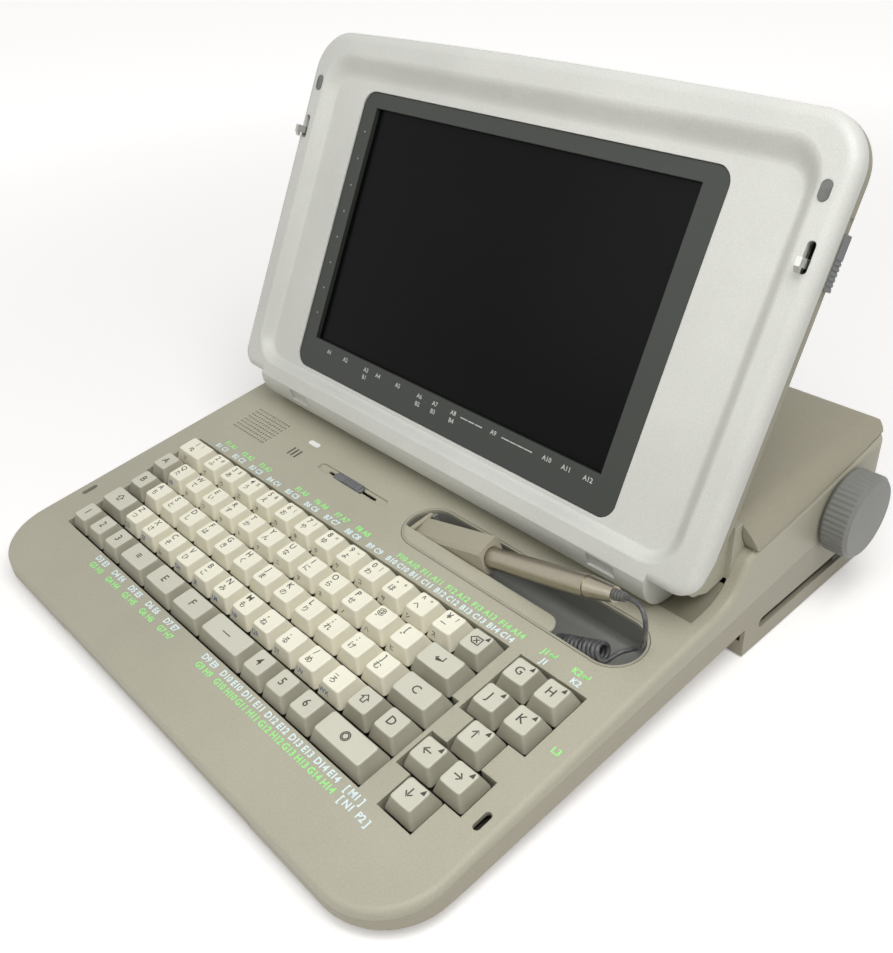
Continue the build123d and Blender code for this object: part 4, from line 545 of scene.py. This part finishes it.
# ------------------------------------------------------------------ legends on the keys
# Pad-printed in dark brown ink: plain letters, digits, syllables and arrows, a Latin character
# over its syllable on the ivory keys and one plain sign on the grey ones.
ink_lift = 0.00004


def printed_ink(name, colour):
    """Pad-printing ink: thin, matt, a little uneven."""
    material, tree = blank_material(name)
    place = add(tree, "ShaderNodeTexCoord").outputs["Object"]
    wear = add(tree, "ShaderNodeTexNoise", {"Scale": 700.0, "Detail": 3.0}, {"Vector": place})
    tone = add(tree, "ShaderNodeValToRGB", links={"Fac": wear.outputs["Fac"]})
    base = linear(colour)
    tone.color_ramp.elements[0].color = tuple(c * 0.85 for c in base[:3]) + (1.0,)
    tone.color_ramp.elements[1].color = tuple(min(1, c * 1.15 + 0.01) for c in base[:3]) + (1.0,)
    shader = add(tree, "ShaderNodeBsdfPrincipled", {"Roughness": 0.6},
                 {"Base Color": tone.outputs["Color"]})
    close_material(tree, shader)
    return material


key_ink = printed_ink("legends, dark brown ink", "46423a")
blue_ink = printed_ink("front legends, blue ink", "5a6f9c")


def sign(text, size, x, y, weight=0.012):
    """The flat outline of a printed sign, centred on a place."""
    curve = bpy.data.curves.new("sign", "FONT")
    curve.body = text
    curve.size = size
    curve.align_x = "CENTER"
    curve.align_y = "CENTER"
    curve.resolution_u = 2
    curve.offset = size * weight
    obj = link(bpy.data.objects.new("sign", curve))
    obj.location = (x, y, 0)
    return as_mesh(obj, "sign")


latin = {"keys_number_row": "1234567890-^¥", "keys_upper_row": "QWERTYUIOP@[",
         "keys_home_row": "ASDFGHJKL;:]", "keys_lower_row": "ZXCVBNM,./_"}
syllables = {"keys_number_row": "ぬふあうえおやゆよわほへー",
             "keys_upper_row": "たていすかんなにらせ゛゜",
             "keys_home_row": "ちとしはきくまのりれけむ",
             "keys_lower_row": "つさそひこみもねるめろ"}
corner_signs = "!#$%&()=~|+*?"
front_signs = {"keys_number_row": "アイウエオカキクケコサシス",
               "keys_upper_row": "タチツテトナニヌネノハヒ",
               "keys_lower_row": "マミムメモヤユヨラリル"}
front_blue = {"keys_upper_row": {0: "AB"},
              "keys_lower_row": {0: "CD", 1: "EF", 3: "GH", 4: "JK", 5: "LM", 6: "NP",
                                 7: "QR", 8: "ST", 9: "UV", 10: "WX"}}
marked_keys = ("key_backspace", "keys_edit", "key_up", "key_left", "key_right", "key_down")
slope = Vector((0, cap_taper, cap_top - cap_foot)).normalized()
across = Vector((1, 0, 0))
front_face = Matrix((across, slope, across.cross(slope))).transposed().to_4x4()
front_middle = Vector((0, -(pitch - cap_gap) / 2 + cap_taper * 0.45,
                       cap_foot + (cap_top - cap_foot) * 0.45))
plain_signs = {"key_backspace": "⌫", "keys_side": "AB", "key_enter": "↵", "keys_mode": "CD",
               "key_left_shift": "⇧", "key_right_shift": "⇧", "keys_function": "123456",
               "key_menu": "≡", "keys_convert": "EF", "key_space": "—", "key_execute": "◎",
               "keys_edit": "GHJK", "key_up": "↑", "key_left": "←", "key_right": "→",
               "key_down": "↓"}
for node, runs in key_runs.items():
    signs = []
    blue_signs = []
    index = 0
    for row, start, width, count in runs:
        for step in range(count):
            x = block_left + (start + width * (step + 0.5)) * pitch
            y = block_back - (row + 0.5) * pitch
            half = (width * pitch - cap_gap) / 2 - cap_taper
            if node in ivory_rows:
                pieces = [(latin[node][index], 0.0050, -0.0026, 0.0028),
                          (syllables[node][index], 0.0044, -0.0020, -0.0024)]
            else:
                pieces = [(plain_signs[node][index], 0.0064, -0.0008, 0)]
            if node == "keys_number_row":
                pieces.append((corner_signs[index], 0.0036, 0.0026, 0.0032))
            if node in marked_keys:
                pieces.append(("▲", 0.0034, 0.0042, 0.0040))
            place = deck @ Matrix.Translation((x, y, 0))
            blue = front_blue.get(node, {}).get(index)
            front = blue or front_signs.get(node, "")[index:index + 1]
            if front:
                flat = sign(front, 0.0040 if blue else 0.0036, -0.0036, 0)
                lift = Matrix.Translation(front_middle + slope.cross(-across) * ink_lift)
                flat.data.transform(place @ lift @ front_face)
                (blue_signs if blue else signs).append(flat)
            for text, size, dx, dy in pieces:
                flat = sign(text, size, dx, dy)
                for vertex in flat.data.vertices:
                    vertex.co.z = cap_top - dish(vertex.co.x, half) + ink_lift
                flat.data.transform(place)
                signs.append(flat)
            index += 1
    for name, flats, ink in (("legend", signs, key_ink), ("front_legend", blue_signs, blue_ink)):
        if flats:
            for flat in flats:
                flat.data.materials.clear()
            legends = join(node.replace("key", name, 1), flats)
            legends.data.materials.append(ink)
            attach(legends, node)

# ------------------------------------------------------------------ screen printing on the deck
# Rows of small pale green and pale blue signs over and under the keys, and two brackets by the
# arrow keys.  The signs are plain letters and digits.
green_ink = printed_ink("deck printing, pale green ink", "9df58c")
pale_ink = printed_ink("deck printing, pale blue ink", "dff4fb")
key_rows = 5
sign_height = 0.0048
sign_lines_apart = 0.0050
rear_line = block_back + 0.0046
front_line = block_back - key_rows * pitch - 0.0048
deck_signs = {"green": [], "pale": []}
for k in range(14):
    x = block_left + (0.9 + k) * pitch
    if k not in (3, 8):
        deck_signs["green"].append(("F%d A%d" % (k + 1, k + 1), x + 0.006,
                                    rear_line + sign_lines_apart))
    deck_signs["pale"].append(("B%d C%d" % (k + 1, k + 1), x + 0.003, rear_line))
for k in range(14):
    x = block_left + (0.9 + k) * pitch
    if k > 1 and k != 7:
        deck_signs["pale"].append(("D%d E%d" % (k + 1, k + 1), x, front_line))
        deck_signs["green"].append(("G%d H%d" % (k + 1, k + 1), x + 0.002,
                                    front_line - sign_lines_apart))
for k, text in enumerate(("J1", "K2")):
    x = block_left + (15.5 + k) * pitch
    deck_signs["green"].append((text + "↵", x, rear_line + sign_lines_apart))
    deck_signs["pale"].append((text, x + 0.001, rear_line))
deck_signs["green"].append(("L3", block_left + 17.5 * pitch, block_back - 1.5 * pitch))
deck_signs["pale"] += [
    ("[ M1 ]", block_left + 14.9 * pitch, front_line),
    ("[ N1  P2 ]", block_left + 15.2 * pitch, front_line - sign_lines_apart),
]
for colour, ink in (("green", green_ink), ("pale", pale_ink)):
    flats = []
    for text, x, y in deck_signs[colour]:
        flat = sign(text, sign_height, x, y, 0.03)
        flat.data.materials.clear()
        flat.data.transform(deck @ Matrix.Translation((0, 0, ink_lift)))
        flats.append(flat)
    printing = join("deck_printing_" + colour, flats)
    printing.data.materials.append(ink)
    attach(printing, "base")

# ------------------------------------------------------------------ speaker, lamps, contrast slider
# A clear grey lens behind three slits and a rounded window: the slits are darkened with painted shade,
# the window is pale.


def lamp_lens():
    """Translucent polystyrene: pale over the lamps, with painted shade where the slits are deep."""
    material, tree = blank_material("lamp lens, translucent polystyrene")
    place = add(tree, "ShaderNodeTexCoord").outputs["Object"]
    parts = add(tree, "ShaderNodeSeparateXYZ", links={"Vector": place})
    out_of_slit_shade = add(tree, "ShaderNodeMapRange", {"From Min": -0.0065, "From Max": -0.0055},
                 {"Value": parts.outputs["Y"]})
    cloud = add(tree, "ShaderNodeTexNoise", {"Scale": 500.0}, {"Vector": place})
    # Painted shade: the lens takes a dark brown grey where it lies deep in the slits.
    colour = add(tree, "ShaderNodeMix", links={0: out_of_slit_shade.outputs["Result"]}, data_type="RGBA")
    colour.inputs[6].default_value = linear("4a463e")
    colour.inputs[7].default_value = linear("f1f3ee")
    bump = add(tree, "ShaderNodeBump", {"Strength": 0.1, "Distance": 0.00005},
               {"Height": cloud.outputs["Fac"]})
    shader = add(tree, "ShaderNodeBsdfPrincipled", {"Roughness": 0.3},
                 {"Base Color": colour.outputs[2], "Normal": bump.outputs["Normal"]})
    close_material(tree, shader)
    return material


finish(lamp_lens(), "lamp_window")
# The slider's thumb pad: a long grey stadium, moulded with three raised ridges, that is pressed
# on the slider's stem and runs over the slot.
pad_half = 0.0130
pad_width = 0.0028
pad_middle = -0.0438
slider_y = 0.1686
ridge_pitch = 0.0014
ridge_size = (0.0006, 0.0040, 0.0006)
ridge_level = 0.0005
shape = bmesh.new()
loops = []
for inward, level in ((0, -0.0012), (0, -0.0002), (0.0003, 0.0002), (0.0008, 0.0004), (0.0016, 0.0004)):
    ring = outline(pad_half - inward, pad_width - inward, pad_width - inward - 0.0001, sides=1, arc=8)
    loops.append([shape.verts.new((pad_middle + p.x, slider_y + p.y, level)) for p in ring])
for low, high in zip(loops, loops[1:]):
    for k in range(len(low)):
        after = (k + 1) % len(low)
        shape.faces.new((low[k], low[after], high[after], high[k]))
shape.faces.new(loops[-1])
shape.faces.new(reversed(loops[0]))
for step in (-1, 0, 1):
    ridge = bmesh.ops.create_cube(shape, size=1.0)["verts"]
    for vertex in ridge:
        vertex.co = Vector((pad_middle + step * ridge_pitch + vertex.co.x * ridge_size[0],
                            slider_y + vertex.co.y * ridge_size[1],
                            ridge_level + vertex.co.z * ridge_size[2]))
for face in shape.faces:
    face.smooth = len(face.verts) == 4 and face.calc_area() < 0.00001
mesh = bpy.data.meshes.new("contrast_pad")
shape.to_mesh(mesh)
shape.free()
mesh.transform(deck)
mesh.materials.append(grey_abs)
contrast_pad = link(bpy.data.objects.new("contrast_pad", mesh))
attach(contrast_pad, "contrast")

# ------------------------------------------------------------------ pen, its sleeve and tray
# A pen of champagne anodised aluminium in a moulded sleeve that swings up with the lid, over a
# grey moulded tray.
pen_metal = metal("pen, champagne anodised aluminium", "a8a191", 0.34, (120.0, 1400.0, 1400.0))
tray_abs = moulded_abs("pen tray, mid grey ABS", "80817c", "8f908b", rough=(0.3, 0.45), rim="a5a291")
sleeve_abs = moulded_abs("pen sleeve, moulded ABS", "a5a08e", "b5b09e")
finish(pen_metal, "pen")
finish(tray_abs, "pen_tray")
finish(sleeve_abs, "pen_holder")
finish(soft_pvc("strain relief, grey PVC", "5a5a56"), "pen_relief")

# ------------------------------------------------------------------ lid
# The front is moulded in a satin light grey, the rear shell and the hinge cover in the darker
# beige of the case.
bezel_abs = moulded_abs("screen bezel, satin light grey ABS", "cbccc6", "d6d7d1", grain=0.0006,
                        rough=(0.34, 0.46))
back_abs = moulded_abs("lid back, moulded ABS", "938f7d", "a29e8c")
finish(bezel_abs, "screen_bezel")
finish(back_abs, "lid_back", "hinge_spine")

# ------------------------------------------------------------------ screen and its frame
# A dark green-grey frame let into the bezel, and a liquid-crystal panel under a dulled sheet.
frame_abs = moulded_abs("screen frame, dark green-grey ABS", "2a2e29", "3a3d38", rough=(0.4, 0.55))
finish(frame_abs, "screen_frame")


def screen_sheet():
    """Anti-reflection sheet over the panel: nearly black, with a soft dull gloss."""
    material, tree = blank_material("screen, anti-reflection sheet")
    place = add(tree, "ShaderNodeTexCoord").outputs["Object"]
    smear = add(tree, "ShaderNodeTexNoise", {"Scale": 12.0, "Detail": 3.0}, {"Vector": place})
    tone = add(tree, "ShaderNodeValToRGB", links={"Fac": smear.outputs["Fac"]})
    tone.color_ramp.elements[0].color = linear("050506")
    tone.color_ramp.elements[1].color = linear("0b0b0d")
    rough = add(tree, "ShaderNodeMapRange", {"To Min": 0.22, "To Max": 0.32},
                {"Value": smear.outputs["Fac"]})
    shader = add(tree, "ShaderNodeBsdfPrincipled", {"Specular IOR Level": 0.08},
                 {"Base Color": tone.outputs["Color"], "Roughness": rough.outputs["Result"]})
    close_material(tree, shader)
    return material


finish(screen_sheet(), "lcd_panel")

# Small pale marks are printed under the screen and down its left side.
lid = Matrix.Translation((-0.008, 0.0095, 0.0734)) @ Matrix.Rotation(math.radians(63), 4, "X")
frame_level = -0.0071 + ink_lift
mark_height = 0.0036
stroke_height = 0.0060
upper_line = 0.0205
lower_line = 0.0160
upper_marks = (-0.104, -0.088, -0.068, -0.057, -0.039, -0.020, -0.007, 0.008, 0.039, 0.077, 0.090,
               0.104)
lower_marks = (-0.068, -0.020, -0.007, 0.008)
frame_marks = [("A%d" % k, mark_height, x, upper_line) for k, x in enumerate(upper_marks, 1)]
frame_marks += [("B%d" % k, mark_height, x, lower_line) for k, x in enumerate(lower_marks, 1)]
frame_marks += [("—", stroke_height, 0.017 + step * 0.0052, upper_line)
                for step in (0, 1, 2, 6, 7, 8, 9)]
frame_marks += [("·", stroke_height, -0.1250, 0.040 + step * 0.016) for step in range(8)]
flats = []
for text, size, x, y in frame_marks:
    flat = sign(text, size, x, y, 0.02)
    flat.data.materials.clear()
    flat.data.transform(lid @ Matrix.Translation((0, 0, frame_level)))
    flats.append(flat)
frame_printing = join("frame_printing", flats)
frame_printing.data.materials.append(printed_ink("frame printing, pale grey ink", "b9bdb8"))
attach(frame_printing, "lid")

# ------------------------------------------------------------------ latch, bumpers and release slider
# Nickel-plated hooks that catch in the deck, soft grey bumpers, and a ribbed slider on the right.
nickel = metal("latch hooks, nickel-plated steel", "b9bab6", 0.25)
finish(nickel, "latch_hooks")
finish(grey_abs, "release_slider")
finish(rubber("bumpers, light grey rubber", "8f908c"), "lid_bumpers")

# ------------------------------------------------------------------ printer cover and platen knob
# The cover is moulded like the case; the knob is a fluted wheel of mid grey plastic.
cover_abs = moulded_abs("printer cover, moulded ABS", "a19c89", "b1ac9a")
knob_abs = moulded_abs("platen knob, mid grey ABS", "7c7d79", "8e8f8b", rough=(0.35, 0.5))
finish(cover_abs, "printer_cover")
finish(knob_abs, "platen_knob")

# ------------------------------------------------------------------ floor, light and sky
# White paper on a table in a white room, under a soft lamp above on the right and a wide, weak
# one in front.


def backdrop_ray(tree):
    """1 for the rays that see the backdrop: straight, in a reflection or through glass."""
    ray = add(tree, "ShaderNodeLightPath").outputs
    seen = add(tree, "ShaderNodeMath", links={0: ray["Is Camera Ray"], 1: ray["Is Transmission Ray"]},
               operation="MAXIMUM")
    return add(tree, "ShaderNodeMath", links={0: seen.outputs[0], 1: ray["Is Glossy Ray"]},
               operation="MAXIMUM").outputs[0]


floor_half = 3.0
floor_corners = [(x * floor_half, y * floor_half, 0) for x, y in ((-1, -1), (1, -1), (1, 1), (-1, 1))]
sheet = bpy.data.meshes.new("floor")
sheet.from_pydata(floor_corners, [], [(0, 1, 2, 3)])
floor = link(bpy.data.objects.new("floor", sheet))
paper, tree = blank_material("floor, white paper")
place = add(tree, "ShaderNodeTexCoord").outputs["Object"]
fibre = add(tree, "ShaderNodeTexNoise", {"Scale": 400.0, "Detail": 4.0}, {"Vector": place})
tone = add(tree, "ShaderNodeValToRGB", links={"Fac": fibre.outputs["Fac"]})
tone.color_ramp.elements[0].color = linear("f6f4f2")
tone.color_ramp.elements[1].color = linear("fbfafa")
matt = add(tree, "ShaderNodeBsdfPrincipled", {"Roughness": 0.9}, {"Base Color": tone.outputs["Color"]})
away = add(tree, "ShaderNodeVectorMath", links={0: place}, operation="LENGTH")
fade = add(tree, "ShaderNodeMapRange",
           {"From Min": 0.2, "From Max": 1.2, "To Min": 0.22, "To Max": 0.62},
           {"Value": away.outputs["Value"]})
glow_share = add(tree, "ShaderNodeMath", links={0: backdrop_ray(tree), 1: fade.outputs["Result"]},
                 operation="MULTIPLY")
glow = add(tree, "ShaderNodeEmission", {"Color": (1, 1, 1, 1)}, {"Strength": glow_share.outputs[0]})
lit = add(tree, "ShaderNodeAddShader", links={0: matt.outputs[0], 1: glow.outputs[0]})
close_material(tree, lit)
floor.data.materials.append(paper)


def soft_lamp(name, place, aim, size, power):
    data = bpy.data.lights.new(name, "AREA")
    data.size = size
    data.energy = power
    lamp = link(bpy.data.objects.new(name, data))
    lamp.location = place
    lamp.rotation_euler = (Vector(aim) - Vector(place)).to_track_quat("-Z", "Y").to_euler()


soft_lamp("lamp_above", (0.36, -0.14, 0.76), (0.02, 0, 0.06), 0.6, 4.9)
soft_lamp("lamp_front", (-0.5, -1.4, 1.3), (0, 0, 0.08), 1.4, 7)
world = bpy.data.worlds.new("room")
bpy.context.scene.world = world
world.use_nodes = True
tree = world.node_tree
tree.nodes.clear()
dim = add(tree, "ShaderNodeBackground", {"Color": linear("f6f4f1"), "Strength": 0.32})
white = add(tree, "ShaderNodeBackground", {"Color": linear("fdfbfa"), "Strength": 1.0})
both = add(tree, "ShaderNodeMixShader",
           links={0: backdrop_ray(tree), 1: dim.outputs[0], 2: white.outputs[0]})
add(tree, "ShaderNodeOutputWorld", links={"Surface": both.outputs[0]})
bpy.context.scene.view_settings.view_transform = "Standard"
